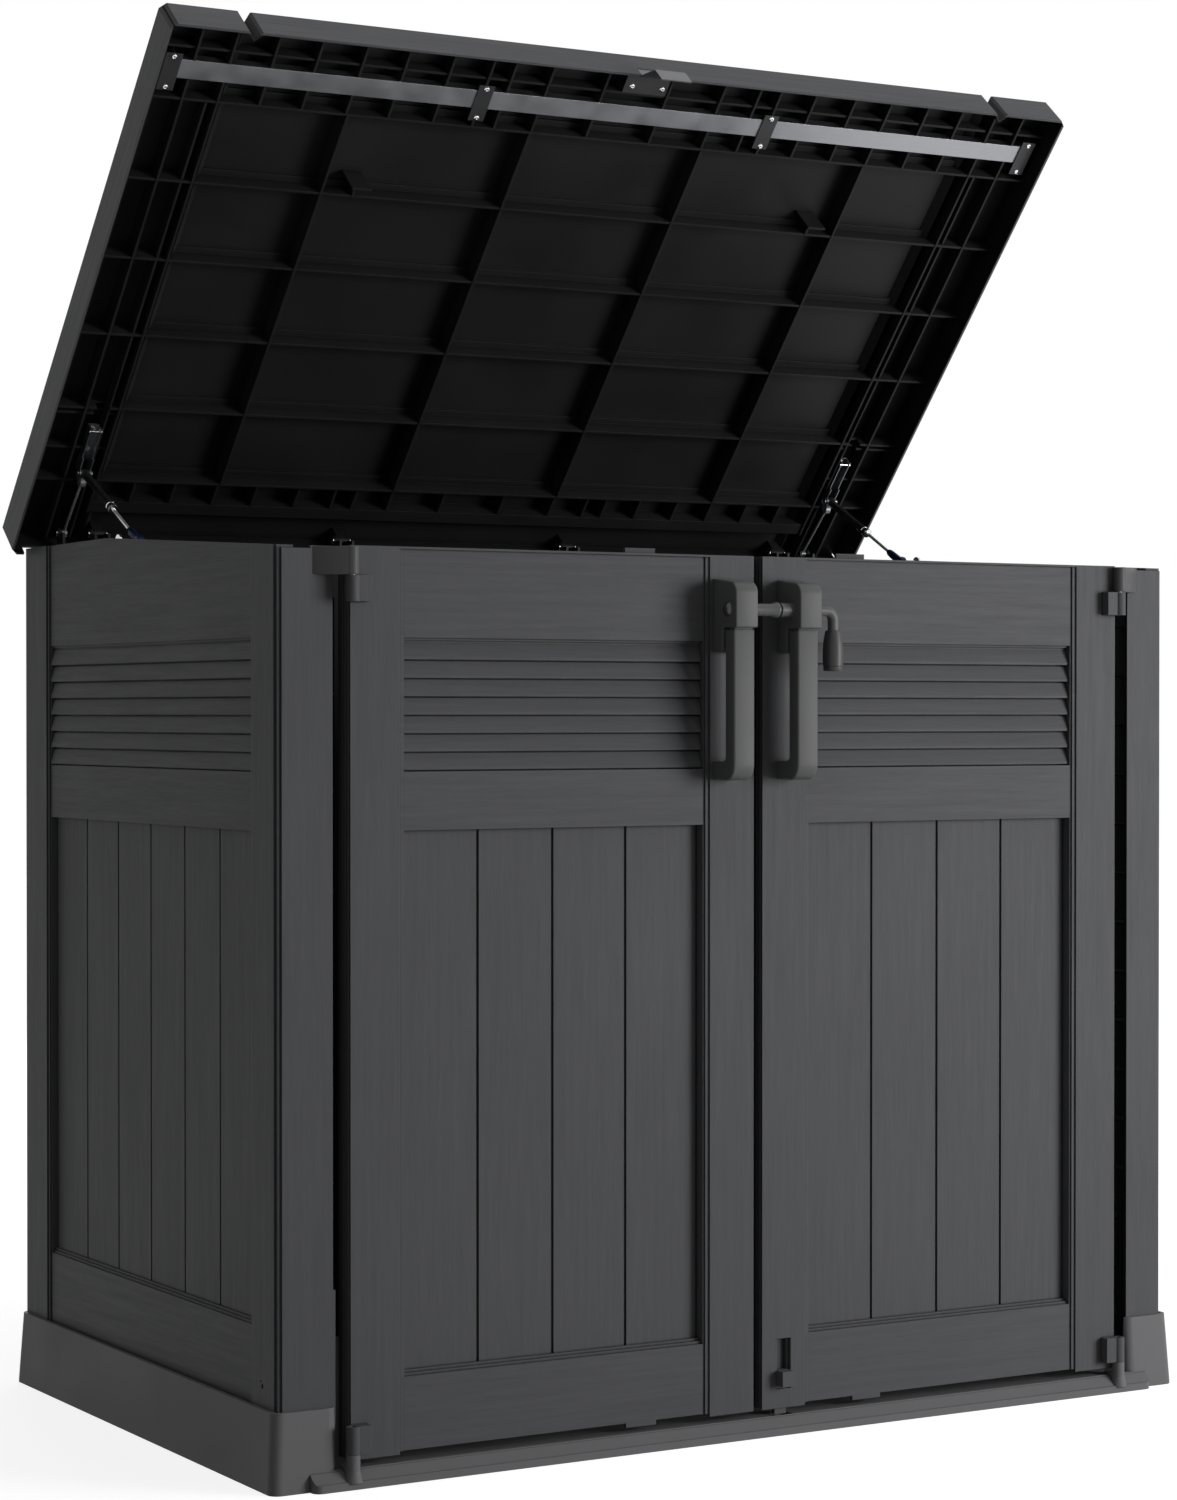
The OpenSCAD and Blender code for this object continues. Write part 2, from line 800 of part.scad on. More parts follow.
// The lid's outer block, with a bevel round its top
module lid_block_outer() {
    c = lid_corner;
    module plan(d) {
        polygon([[-lid_x + d, y_s(c)], [-lid_x + c, y_s(d)], [lid_x - c, y_s(d)], [lid_x - d, y_s(c)],
            [lid_x - d, y_s(lid_len - c)], [lid_x - c, y_s(lid_len - d)],
            [-lid_x + c, y_s(lid_len - d)], [-lid_x + d, y_s(lid_len - c)]]);
    }
    hull() {
        translate([0, 0, z_n(skirt)]) linear_extrude(skirt - lid_bevel) plan(0);
        translate([0, 0, z_n(lid_bevel)]) linear_extrude(lid_bevel) plan(lid_bevel);
    }
}

// A V bar across the lid and down its front skirt, w wide and d deep, at vee_x
module vee_bar(w, d, grow) {
    both() translate([vee_x, 0, 0]) {
        translate([0, y_s(-1), z_n(0)]) rotate([-90, 0, 0]) linear_extrude(lid_len + 2)
            polygon([[-w / 2, -grow], [w / 2, -grow], [0, d]]);
        translate([0, y_s(0), z_n(skirt) - 1]) linear_extrude(skirt + 2)
            polygon([[-w / 2, -grow], [w / 2, -grow], [0, d]]);
    }
}

module lid_shell() {
    difference() {
        lid_block_outer();
        difference() {
            lid_block(-lid_x + lid_t, lid_x - lid_t, lid_t, lid_len - lid_t, lid_t, skirt + 1);
            vee_bar(vee_w + 2 * lid_t, vee_d + lid_t, 0);
        }
        // Notch in the front skirt for the latch's tongue
        lid_block(latch_x0 - seat_gap, latch_x1 + seat_gap, -1, lid_t + 1, latch_n0 - seat_gap, skirt + 1);
        // The tail's rim is cut back between its two legs
        lid_block(-lid_x + tail_leg, lid_x - tail_leg, lid_len - lid_t - 2, lid_len + 1, tail_n, skirt + 1);
    }
}

// Rib lengthwise from front to back
module rib_long(x, s0, s1, n1) {
    lid_block(x - rib_t / 2, x + rib_t / 2, s0, s1, lid_t - eps, n1);
}

// Rib from side to side
module rib_cross(s, x0, x1, n1) {
    lid_block(x0, x1, s - rib_t / 2, s + rib_t / 2, lid_t - eps, n1);
}

module lid_ribs() {
    edge = lid_x - lid_t + 1;
    for (x = [-1.5, -0.5, 0.5, 1.5])
        rib_long(x * cell_w, row_first, row_s1, rib_n);
    for (k = [0:rows - 1]) {
        s = row_first + k * row_gap;
        rib_cross(s, -edge, edge, rib_n - 1);
        lid_block(-rail_x, rail_x, s - row_foot, s, lid_t - eps, row_foot_n);
    }
    for (s = [band_s])
        rib_cross(s, -edge, edge, rib_n - 4);
    for (x = band_x, side = [-1, 1]) {
        rib_long(side * x, lid_t - 1, row_first, rib_n - 1);
        rib_long(side * x, row_s1, band_s1, rib_n - 3);
    }
    lid_block(-rail_x, rail_x, band_s1, band_s1 + 19, lid_t - eps, rib_n - 3);
    both() {
        rib_long(rail_x, lid_t - 1, band_s1 + 19, rib_n);
        rib_long(rail_x + 14, row_first, lid_len - 12, rib_n - 4);
        rib_long(side_rib_x, lid_t - 1, lid_len - 12, rib_n);
        for (s = [row_s1 - side_row_back - side_row, row_s1 - side_row_back])
            rib_cross(s, rail_x, edge, rib_n - 6);
        // Hook on the first row
        lid_block(hook_x - hook_w / 2, hook_x + hook_w / 2, hook_s, hook_s + rib_t, lid_t - eps, hook_n);
        lid_block(hook_x - rib_t / 2, hook_x + rib_t / 2, hook_s, hook_s + 26, lid_t - eps, rib_n);
    }
}

// A knuckle of the lid round its axis
module knuckle(x) {
    rod_x(x - knuckle_w / 2, x + knuckle_w / 2, ear_r);
    block([x - knuckle_w / 2, -ear_r, 0], [x + knuckle_w / 2, ear_r, z_n(lid_t) + 1]);
}

module lid() {
    color([0.17, 0.17, 0.18]) on_lid() difference() {
        union() {
            lid_shell();
            difference() {
                union() {
                    lid_ribs();
                    // Bosses for the screws of the straps
                    for (x = strap_x, s = [strap_s0 + 5, strap_s1 - 5])
                        translate([x, y_s(s), z_n(beam_n1)])
                            cylinder(r = boss_r, h = beam_n1 - lid_t + eps);
                }
                // Seat of the stiffening bar
                lid_block(-beam_x - seat_gap, beam_x + seat_gap, beam_s0 - seat_gap, beam_s0 + beam_w + seat_gap,
                    beam_n0 - seat_gap, rib_n + 1);
                // Room for the two struts and their channels
                both() lid_block(strut_x - corridor_in, strut_x + corridor_in, a_s - corridor_len, lid_len - lid_t,
                    corridor_n, rib_n + 1);
            }
            both() for (x = knuckle_x) knuckle(x);
        }
        vee_bar(vee_w, vee_d, 1);
        both() for (x = knuckle_x)
            rod_x(x - knuckle_w, x + knuckle_w, lid_pin_r + run_gap);
        // Screw holes
        for (x = strap_x, s = [strap_s0 + 5, strap_s1 - 5])
            translate([x, y_s(s), z_n(beam_n1 + 1)]) cylinder(r = screw_r, h = 14);
    }
}

// Aluminium bar that stiffens the lid's front
module lid_beam() {
    color([0.75, 0.76, 0.78]) on_lid() difference() {
        lid_block(-beam_x, beam_x, beam_s0, beam_s0 + beam_w, beam_n0, beam_n1);
        lid_block(-beam_x - 1, beam_x + 1, beam_s0 + 2, beam_s0 + beam_w - 2, beam_n0 + 2, beam_n1 - 2);
    }
}

// Strap k across the bar, screwed to bosses on both sides of it
module beam_strap(k) {
    x = strap_x[k];
    color([0.22, 0.22, 0.23]) on_lid() difference() {
        lid_block(x - strap_w / 2, x + strap_w / 2, strap_s0, strap_s1, beam_n1, beam_n1 + strap_t);
        for (s = [strap_s0 + 5, strap_s1 - 5])
            translate([x, y_s(s), z_n(beam_n1 + strap_t + 1)]) cylinder(r = screw_r, h = strap_t + 2);
    }
}

module beam_strap_1() {
    beam_strap(0);
}

module beam_strap_2() {
    beam_strap(1);
}

module beam_strap_3() {
    beam_strap(2);
}

module beam_strap_4() {
    beam_strap(3);
}

// A screw whose head lies on a face at depth n, drawn with its shank into the lid
module lid_screw(x, s, n, shank) {
    translate([x, y_s(s), z_n(n + head_t)]) {
        cylinder(r = head_r, h = head_t);
        cylinder(r = screw_r, h = head_t + shank);
    }
}

module beam_screws() {
    color([0.8, 0.8, 0.82]) on_lid() for (x = strap_x, s = [strap_s0 + 5, strap_s1 - 5])
        lid_screw(x, s, beam_n1 + strap_t, 10);
}

// Latch: a tongue that continues the front skirt downwards and a bracket that holds it
module latch_bracket() {
    color([0.2, 0.2, 0.21]) on_lid() difference() {
        lid_block(bracket_x0, bracket_x1, bracket_s, band_s - rib_t / 2, lid_t, bracket_n);
        lid_block(bracket_x0 + 4, bracket_x1 - 4, bracket_s - 1, band_s - rib_t / 2 - 4, lid_t + 4, bracket_n - 3);
        for (x = [bracket_x0 + 12, bracket_x1 - 10])
            translate([x, y_s(latch_screw_s), z_n(bracket_n + 1)]) cylinder(r = screw_r, h = 5);
    }
}

module latch_tongue() {
    outline = [[latch_s, latch_n0], [latch_s + latch_t, latch_n0], [latch_s + latch_t, skirt + 1],
        [latch_s1 + latch_t, latch_n1 + 1], [latch_s1 + latch_t, latch_n2], [latch_s1, latch_n2],
        [latch_s1, latch_n1], [latch_s, skirt]];
    color([0.4, 0.4, 0.41]) on_lid() drawn_x(latch_x0, latch_x1)
        polygon([for (p = outline) [y_s(p[0]), z_n(p[1])]]);
}

module latch_screws() {
    color([0.8, 0.8, 0.82]) on_lid() for (x = [bracket_x0 + 12, bracket_x1 - 10])
        lid_screw(x, latch_screw_s, bracket_n, 2);
}

// Channel on the lid that carries the strut's upper pin
module strut_channel() {
    w = channel_w / 2;
    color([0.7, 0.71, 0.73]) on_lid() translate([strut_x, 0, 0]) {
        lid_block(-w, w, channel_s0, a_s - 12, corridor_n, corridor_n + channel_t);
        for (side = [-1, 1]) {
            x = side * (w - channel_t / 2);
            lid_block(x - channel_t / 2, x + channel_t / 2, channel_s0, a_s - 6, corridor_n, rib_n - 1);
            lid_block(x - channel_t / 2, x + channel_t / 2, a_s - 24, a_s, corridor_n, a_n);
            translate([0, y_s(a_s), z_n(a_n)]) rod_x(x - channel_t / 2, x + channel_t / 2, eye_r);
        }
        translate([0, y_s(a_s), z_n(a_n)]) {
            rod_x(-w - 1.5, w + 1.5, eye_pin_r);
            rod_x(-w - 3, -w - 1.5, eye_pin_r + 1.5);
            rod_x(w + 1.5, w + 3, eye_pin_r + 1.5);
        }
    }
}

module strut_channel_left() {
    mirror([1, 0, 0]) strut_channel();
}

module strut_channel_right() {
    strut_channel();
}

module channel_screws() {
    color([0.8, 0.8, 0.82]) on_lid() both() for (s = [0, channel_pitch])
        translate([strut_x, y_s(channel_s0 + channel_screw + s), z_n(corridor_n + channel_t + head_t)])
            cylinder(r = head_r, h = head_t);
}

// Steel arm from the lid's side channel to the hinge axis
module hinge_arm() {
    color([0.75, 0.76, 0.78]) on_lid() translate([strut_x, 0, 0]) difference() {
        union() {
            translate([0, y_s(arm_s), z_n(a_n)]) rod_x(-4, 4, 7);
            translate([0, y_s(arm_s), z_n(a_n)]) rotate([-90 + arm_tilt(), 0, 0])
                cylinder(r = arm_r, h = arm_len());
            rod_x(-4, 4, 6);
            lid_block(-3, 3, arm_s - 3, arm_s + 3, corridor_n, a_n);
        }
        rod_x(-5, 5, lid_pin_r - 1 + run_gap);
        translate([0, y_s(arm_s), z_n(a_n)]) rod_x(-5, 5, 2.5);
    }
}

function arm_len() = norm([y_s(arm_s), z_n(a_n)]);
function arm_tilt() = atan2(-z_n(a_n), -y_s(arm_s));

module hinge_arm_left() {
    mirror([1, 0, 0]) hinge_arm();
}

module hinge_arm_right() {
    hinge_arm();
}

// Frame of the strut: its upper pivot at the origin and its length along +Y
module on_strut(side) {
    translate([side * strut_x, a_open[0], a_open[1]]) rotate([strut_deg, 0, 0]) children();
}

module along(u0, u1, r) {
    translate([0, u0, 0]) rotate([-90, 0, 0]) cylinder(r = r, h = u1 - u0);
}

module strut_cylinder(side) {
    color([0.07, 0.07, 0.08]) on_strut(side) difference() {
        union() {
            rod_x(-strut_d / 2, strut_d / 2, eye_r);
            along(4, collar_u, strut_d / 2);
            along(collar_u - collar_w, collar_u, strut_d / 2 + 1);
        }
        rod_x(-strut_d, strut_d, eye_pin_r + run_gap);
        along(collar_u - stroke_room, collar_u + 1, rod_d / 2 + run_gap);
    }
}

module strut_cylinder_left() {
    strut_cylinder(-1);
}

module strut_cylinder_right() {
    strut_cylinder(1);
}

module strut_rod(side) {
    color([0.8, 0.81, 0.83]) on_strut(side) along(collar_u - rod_in, strut_open - fitting_len, rod_d / 2);
}

module strut_rod_left() {
    strut_rod(-1);
}

module strut_rod_right() {
    strut_rod(1);
}

module strut_end(side) {
    color([0.08, 0.1, 0.22]) on_strut(side) {
        along(strut_open - fitting_len, strut_open - 8, fitting_r);
        translate([0, strut_open, 0]) rod_x(-fitting_r, fitting_r, 9);
    }
}

module strut_end_left() {
    strut_end(-1);
}

module strut_end_right() {
    strut_end(1);
}

// The right door; the left one is its mirror image
module door() {
    difference() {
        union() {
            translate([0, door_y, 0])
                framed_face(door_x0 + stile_w, door_x1 - stile_w, door_top - top_margin, plank_z0, door_planks,
                    plank_deep)
                    block([door_x0, 0, door_z], [door_x1, door_t, door_top]);
            // Tab on the door's top edge, behind its face
            block([tab_x - tab_w / 2, door_y + tab_y, door_top - 1],
                [tab_x + tab_w / 2, door_y + tab_y + tab_t, door_top + tab_h]);
            door_barrel(boss_z, barrel_lo);
            door_barrel(barrel_up_z, barrel_up);
        }
        // Lower rail stands a little higher than the stiles
        block([door_x0 + stile_w, door_y - 1, door_z - 1],
            [door_x1 - stile_w, door_y + door_t + 1, door_z + rail_lift]);
        // Grooves down both edges
        for (k = [0:2], x = [door_x0, door_x1])
            block([x - edge_groove_d, door_y + 1 + k * edge_pitch, door_z - 1],
                [x + edge_groove_d, door_y + 1 + edge_groove_w + k * edge_pitch, door_top + 1]);
        for (z = [boss_z, barrel_up_z])
            translate([hinge_x, hinge_yd, z - 1]) cylinder(r = pin_r + run_gap, h = 40);
        pockets(door_x0 + 20, door_x1 - 20, door_z + 20, door_top - 20, 5, 9,
            door_y + door_t - pocket, door_y + door_t + eps);
    }
    // Lug below the lower rail
    block([lug_x - tab_w / 2, door_y + rail_deep, door_z - lug_drop],
        [lug_x + tab_w / 2, door_y + rail_deep + tab_t, door_z + rail_lift + 1]);
}

// Barrel of a door hinge with the web that joins it to the door
module door_barrel(z, h) {
    translate([hinge_x, hinge_yd, z]) cylinder(r = barrel_r, h = h);
    block([hinge_x - 24, hinge_yd - 5, z], [hinge_x, door_y + 1, z + h]);
}

module left_door() {
    color([0.31, 0.31, 0.32]) mirror([1, 0, 0]) door();
}

module right_door() {
    color([0.31, 0.31, 0.32]) difference() {
        door();
        // Slot and track of the slide bolt
        block([slot_x0, door_y - 1, slot_z0 - slot_low], [slot_x1, door_y + slot_d, slot_z1]);
        block([foot_bolt_x - foot_bolt_w / 2 - face_gap, door_y + slot_d - eps, door_z - 1],
            [foot_bolt_x + foot_bolt_w / 2 + face_gap, door_y + slot_d + foot_bolt_t + face_gap, slot_z1]);
    }
}

// A plan outline with its two front corners rounded to r, for a bar w wide between y0 and y1
module rounded_plan(w, y0, y1, r) {
    translate([-w / 2, y0 + r]) square([w, y1 - y0 - r]);
    translate([-w / 2 + r, y0]) square([w - 2 * r, r + 1]);
    for (side = [-1, 1]) translate([side * (w / 2 - r), y0 + r]) circle(r = r);
}

module handle_mount(x) {
    y0 = door_y - mount_out;
    top = mount_z1 - mount_drop;
    color([0.38, 0.38, 0.39]) difference() {
        intersection() {
            drawn_x(x - mount_w / 2, x + mount_w / 2) union() {
                translate([y0, mount_z0]) square([mount_nose + 1, top - mount_nose - mount_z0]);
                translate([y0 + mount_nose, top - mount_nose]) circle(r = mount_nose);
                polygon([[y0 + mount_nose, mount_z0], [door_y, mount_z0], [door_y, mount_z1],
                    [y0 + mount_nose, top]]);
                translate([door_y - mount_leg, mount_leg_z])
                    square([mount_leg, mount_z0 - mount_leg_z + 1]);
            }
            translate([x, 0, mount_leg_z - 1]) linear_extrude(mount_z1 - mount_leg_z + 2)
                rounded_plan(mount_w, y0, door_y, mount_edge);
        }
        translate([0, lock_y, lock_z]) rod_x(x - mount_w, x + mount_w, sleeve_d / 2 + run_gap);
    }
}

module handle_grip(x) {
    y0 = door_y - mount_out + grip_in;
    color([0.39, 0.39, 0.4]) intersection() {
        drawn_x(x - grip_w / 2, x + grip_w / 2) difference() {
            union() {
                translate([y0, grip_z0 + grip_nose]) square([grip_t, grip_z1 - grip_z0 - grip_nose]);
                translate([y0 + grip_nose, grip_z0]) square([door_y - y0 - grip_nose, grip_foot]);
                translate([y0 + grip_nose, grip_z0 + grip_nose]) circle(r = grip_nose);
                translate([y0 + mount_leg / 2, grip_z1 - 1])
                    square([grip_t - mount_leg / 2, mount_z0 - grip_z1 + 1]);
            }
            translate([y0 + grip_t, grip_z0 + grip_foot]) square([mount_out, grip_z1]);
        }
        translate([x, 0, grip_z0 - 1]) linear_extrude(mount_z0 - grip_z0 + 2)
            rounded_plan(grip_w, y0, door_y, grip_edge);
    }
}

module left_handle_mount() {
    handle_mount(left_mount_x);
}

module left_handle_grip() {
    handle_grip(left_mount_x - 1);
}

module right_handle_mount() {
    handle_mount(handle_x);
}

module right_handle_grip() {
    handle_grip(handle_x - 1.7);
}

// Guide sleeve of the lock rod from x0 to x1, its bore wider than the rod by gap all round
module lock_sleeve(x0, x1, gap) {
    color([0.42, 0.42, 0.43]) translate([0, lock_y, lock_z]) difference() {
        rod_x(x0, x1, sleeve_d / 2);
        rod_x(x0 - 1, x1 + 1, bolt_d / 2 + gap);
    }
}

module lock_sleeve_left() {
    lock_sleeve(left_mount_x - mount_w / 2, meet_x - face_gap / 2, catch_gap);
}

module lock_sleeve_right() {
    lock_sleeve(meet_x + face_gap / 2, handle_x + mount_w / 2, run_gap);
}

// Domed button that closes the left sleeve's outer end
module lock_button() {
    x = left_mount_x - mount_w / 2;
    color([0.3, 0.3, 0.31]) translate([x, lock_y, lock_z]) intersection() {
        translate([button_ball - button_t, 0, 0]) sphere(r = button_ball);
        rod_x(-button_t, 0, button_r);
    }
}

// Sliding rod of the lock
module lock_bolt() {
    color([0.55, 0.56, 0.58]) translate([0, lock_y, lock_z])
        rod_x(bolt_nose, handle_x + mount_w / 2 + bolt_out, bolt_d / 2);
}

// Elbow that hangs down from the lock rod
module lock_lever() {
    x = handle_x + mount_w / 2 + bolt_out;
    color([0.55, 0.56, 0.58]) translate([x, lock_y, lock_z]) {
        translate([0, 0, -elbow_r]) rotate([90, 0, 0]) rotate_extrude(angle = 90)
            translate([elbow_r, 0]) circle(r = bolt_d / 2);
        translate([elbow_r, 0, -lever_z]) cylinder(r = bolt_d / 2, h = lever_z - elbow_r);
    }
}

module lock_grip() {
    x = handle_x + mount_w / 2 + bolt_out + elbow_r;
    top = lock_z - 26;
    color([0.33, 0.33, 0.34]) difference() {
        translate([x, lock_y, top - lock_grip_len]) cylinder(r = lock_grip_r, h = lock_grip_len);
        translate([x, lock_y, lock_z - lever_z]) cylinder(r = bolt_d / 2, h = lever_z);
    }
}

// Flat bolt that slides in the right door's stile
module slide_bolt() {
    y = door_y + slot_d;
    color([0.3, 0.3, 0.31])
        block([foot_bolt_x - foot_bolt_w / 2, y, foot_bolt_z],
            [foot_bolt_x + foot_bolt_w / 2, y + foot_bolt_t, slot_z0 + knob_h]);
}

module slide_bolt_knob() {
    y = door_y + slot_d;
    color([0.36, 0.36, 0.37])
        block([foot_bolt_x - foot_bolt_w / 2, y - knob_out - slot_d, slot_z0],
            [foot_bolt_x + foot_bolt_w / 2, y, slot_z0 + knob_h]);
}

base();
left_panel();
right_panel();
back_panel();
upper_hinge_left();
upper_hinge_right();
hinge_pins();
lid_hinge_brackets();
lid_hinge_pins();
strut_stud_left();
strut_stud_right();
lid();
lid_beam();
beam_strap_1();
beam_strap_2();
beam_strap_3();
beam_strap_4();
beam_screws();
latch_bracket();
latch_tongue();
latch_screws();
strut_channel_left();
strut_channel_right();
channel_screws();
hinge_arm_left();
hinge_arm_right();
strut_cylinder_left();
strut_cylinder_right();
strut_rod_left();
strut_rod_right();
strut_end_left();
strut_end_right();
left_door();
left_handle_mount();
left_handle_grip();
lock_sleeve_left();
lock_button();
right_door();
right_handle_mount();
right_handle_grip();
lock_sleeve_right();
slide_bolt();
slide_bolt_knob();
lock_bolt();
lock_lever();
lock_grip();
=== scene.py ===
"""Looks of a resin patio storage box.

Grained graphite doors and walls, a ribbed black lid underside and bright metal stays.
"""

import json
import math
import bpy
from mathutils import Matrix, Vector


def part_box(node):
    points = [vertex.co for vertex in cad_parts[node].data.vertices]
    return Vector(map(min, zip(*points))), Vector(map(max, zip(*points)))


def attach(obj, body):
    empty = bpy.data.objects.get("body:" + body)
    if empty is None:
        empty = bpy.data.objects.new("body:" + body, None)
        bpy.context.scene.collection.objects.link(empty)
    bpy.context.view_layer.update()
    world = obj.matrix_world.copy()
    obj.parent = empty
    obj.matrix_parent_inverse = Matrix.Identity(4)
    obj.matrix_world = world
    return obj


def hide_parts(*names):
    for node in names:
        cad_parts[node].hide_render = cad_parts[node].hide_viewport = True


bl_info = {
    "name": "Patio Storage Box",
    "version": (1, 0, 0),
    "blender": (4, 5, 0),
    "location": "3D View > Sidebar > Storage Box",
    "description": "Finishes the packed storage box and sets it on a plain studio floor",
    "category": "Object",
}

import bpy
from mathutils import Vector

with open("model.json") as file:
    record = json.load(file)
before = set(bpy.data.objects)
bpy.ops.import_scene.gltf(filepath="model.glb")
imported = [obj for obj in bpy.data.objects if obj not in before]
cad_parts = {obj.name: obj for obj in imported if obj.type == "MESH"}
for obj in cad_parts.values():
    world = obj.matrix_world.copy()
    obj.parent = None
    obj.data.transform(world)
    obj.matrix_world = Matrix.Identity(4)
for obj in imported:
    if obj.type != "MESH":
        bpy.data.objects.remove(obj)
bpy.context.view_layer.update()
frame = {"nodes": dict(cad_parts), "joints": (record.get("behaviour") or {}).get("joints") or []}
NODES = frame["nodes"]
JOINTS = {joint["name"]: joint for joint in frame["joints"]}
SIDES = ("left", "right")
MM = 0.001

# How near a plane a point counts as on it
CLOSE = 0.1 * MM

# A direction's share along an axis from which it counts as along it, and up to which as across
ALONG, ACROSS = 0.9, 0.1

# Places taken from the frame
LID_HINGE = Vector(JOINTS["lid_hinge"]["pos_m"])
LOCK = Vector(JOINTS["lock_turn"]["pos_m"])

# Inner edges of the stiles and rails round the planks of the doors and walls, in metres
FIELD_X = (0.076, 0.538)
PLANK_Z = (0.130, 0.819)
SIDE_FIELD_Y = (-0.348, 0.3425)
SIDE_RAIL_Z = 0.198

# Half width, front, back and top of the black insides, the lid's in the shut lid's frame; the lid's
# underside is black resin, while the walls' inner faces are painted black as painted shade
LID_INSIDE = (0.7265, -0.8565, 0.0175, 0.0233)
WALL_INSIDE = (0.6475, -0.4195, 0.403, 1.3)

# The lid's angle at rest, and how far its front and its top lie from its hinge, in mm
LID_OPEN = math.radians(48.89)
LID_REACH = 860.0
LID_RISE = 27.0

# Half the width over which one colour goes over into another
SOFT = 0.3 * MM


# Sizes and colours that a user would change


def colour(name, value, description):
    return bpy.props.FloatVectorProperty(
        name=name, description=description, subtype="COLOR", size=4, min=0, max=1,
        default=(*value, 1),
    )


def length(name, value, description):
    return bpy.props.FloatProperty(
        name=name, description=description, default=value, unit="LENGTH", precision=4, min=0
    )


def factor(name, value, description, top=1.0):
    return bpy.props.FloatProperty(
        name=name, description=description, default=value, min=0, max=top
    )


def turn(name, value, description):
    return bpy.props.FloatProperty(
        name=name, description=description, default=math.radians(value), subtype="ANGLE"
    )


class BoxFinishSettings(bpy.types.PropertyGroup):
    graphite: colour("Graphite", (0.078, 0.079, 0.083), "Grained resin of doors, walls and lid")
    base_grey: colour("Base grey", (0.13, 0.13, 0.134), "Smooth resin of the base")
    handle_grey: colour("Handle grey", (0.104, 0.106, 0.105), "Satin resin of the handles")
    hinge_grey: colour("Hinge grey", (0.08, 0.08, 0.083), "Resin of door hinges and foot bolt")
    # Black resin of the lid's underside and brackets, also used as painted shade on the walls'
    # inner faces
    black_resin_and_shade: colour("Inner black", (0.0145, 0.0145, 0.015), "Resin of the inner faces")
    strap_black: colour("Strap black", (0.022, 0.022, 0.024), "Paint of straps, latch and struts")
    aluminium: colour("Aluminium", (0.28, 0.285, 0.3), "Stiffening bar across the lid")
    steel: colour("Steel", (0.62, 0.63, 0.65), "Bright pins, screws and nuts")
    chrome: colour("Chrome", (0.85, 0.86, 0.88), "Polished rods of the struts")
    zinc: colour("Zinc", (0.1, 0.1, 0.105), "Plated plate of the latch")
    channel_grey: colour("Channel grey", (0.16, 0.165, 0.175), "Plated channels and arms")
    fitting_blue: colour("Fitting blue", (0.012, 0.02, 0.06), "Plastic end fittings of the struts")
    lock_grey: colour("Lock grey", (0.1, 0.1, 0.102), "Resin of the lock's sleeves and rod")
    rubber: colour("Rubber", (0.055, 0.055, 0.057), "Grip that hangs from the lock, and its button")


class BoxGrainSettings(bpy.types.PropertyGroup):
    streak_width: length("Streak width", 0.0014, "Width of a streak of the brushed grain")
    streak_length: length("Streak length", 0.04, "Length of a streak of the brushed grain")
    contrast: factor("Contrast", 0.13, "How far the streaks depart from the resin's tone")
    relief: factor("Relief", 0.25, "Strength of the grain's bump")
    edge_round: length("Edge rounding", 0.0008, "Radius that edges are softened by in the finish")


class BoxStageSettings(bpy.types.PropertyGroup):
    camera_place: bpy.props.FloatVectorProperty(
        name="Camera place", description="Where the camera stands", unit="LENGTH",
        default=(-2.5285, -4.2798, 0.9664),
    )
    camera_yaw: turn("Camera yaw", 30.4888, "Turn of the camera to the right of straight on")
    camera_dip: turn("Camera dip", 0.6087, "How far the camera looks down")
    lens: bpy.props.FloatProperty(
        name="Lens", description="Focal length of the camera", default=82.68, unit="CAMERA"
    )
    key_power: factor("Key light", 214.0, "Watts of the large lamp at the front right", 5000)
    fill_power: factor("Fill light", 7.0, "Watts of the lamp at the front left", 5000)
    top_power: factor("Top light", 50.0, "Watts of the lamp overhead", 5000)
    back_power: factor("Back light", 60.0, "Watts of the lamp behind the box", 5000)
    sky: factor("Sky light", 0.12, "Strength of the even light from all round", 10)
    floor_size: length("Floor size", 30.0, "Width of the floor")
    floor_glow: factor("Floor glow", 0.82, "How far the floor by the box is lifted to white")
    shadow_reach: length("Shadow reach", 2.4, "How far from the box's middle the floor is white")


# Shader helpers


def link(tree, source, target):
    tree.links.new(source, target)


def add_node(tree, kind, **values):
    node = tree.nodes.new(kind)
    for name, value in values.items():
        setattr(node, name, value)
    return node


def math_node(tree, operation, a, b=0.0, c=0.0):
    node = add_node(tree, "ShaderNodeMath", operation=operation)
    for socket, value in zip(node.inputs, (a, b, c)):
        if isinstance(value, bpy.types.NodeSocket):
            link(tree, value, socket)
        else:
            socket.default_value = value
    return node.outputs[0]


def remapped(tree, value, given, made=(0.0, 1.0), kind="LINEAR"):
    """Carries value from the given range over to the made one."""
    node = add_node(tree, "ShaderNodeMapRange", interpolation_type=kind)
    link(tree, value, node.inputs["Value"])
    for name, limit in zip(("From Min", "From Max", "To Min", "To Max"), (*given, *made)):
        node.inputs[name].default_value = limit
    return node.outputs[0]


def between(tree, value, low, high):
    """1 where value lies between low and high, 0 elsewhere, with soft edges."""
    rise = remapped(tree, value, (low - SOFT, low + SOFT), kind="SMOOTHSTEP")
    fall = remapped(tree, value, (high + SOFT, high - SOFT), kind="SMOOTHSTEP")
    return math_node(tree, "MULTIPLY", rise, fall)


def tinted(tree, given, made, gain):
    """Hands on the given colour, brighter by gain."""
    tint = add_node(tree, "ShaderNodeVectorMath", operation="SCALE")
    link(tree, given["Colour"], tint.inputs[0])
    link(tree, gain, tint.inputs["Scale"])
    link(tree, tint.outputs[0], made["Colour"])


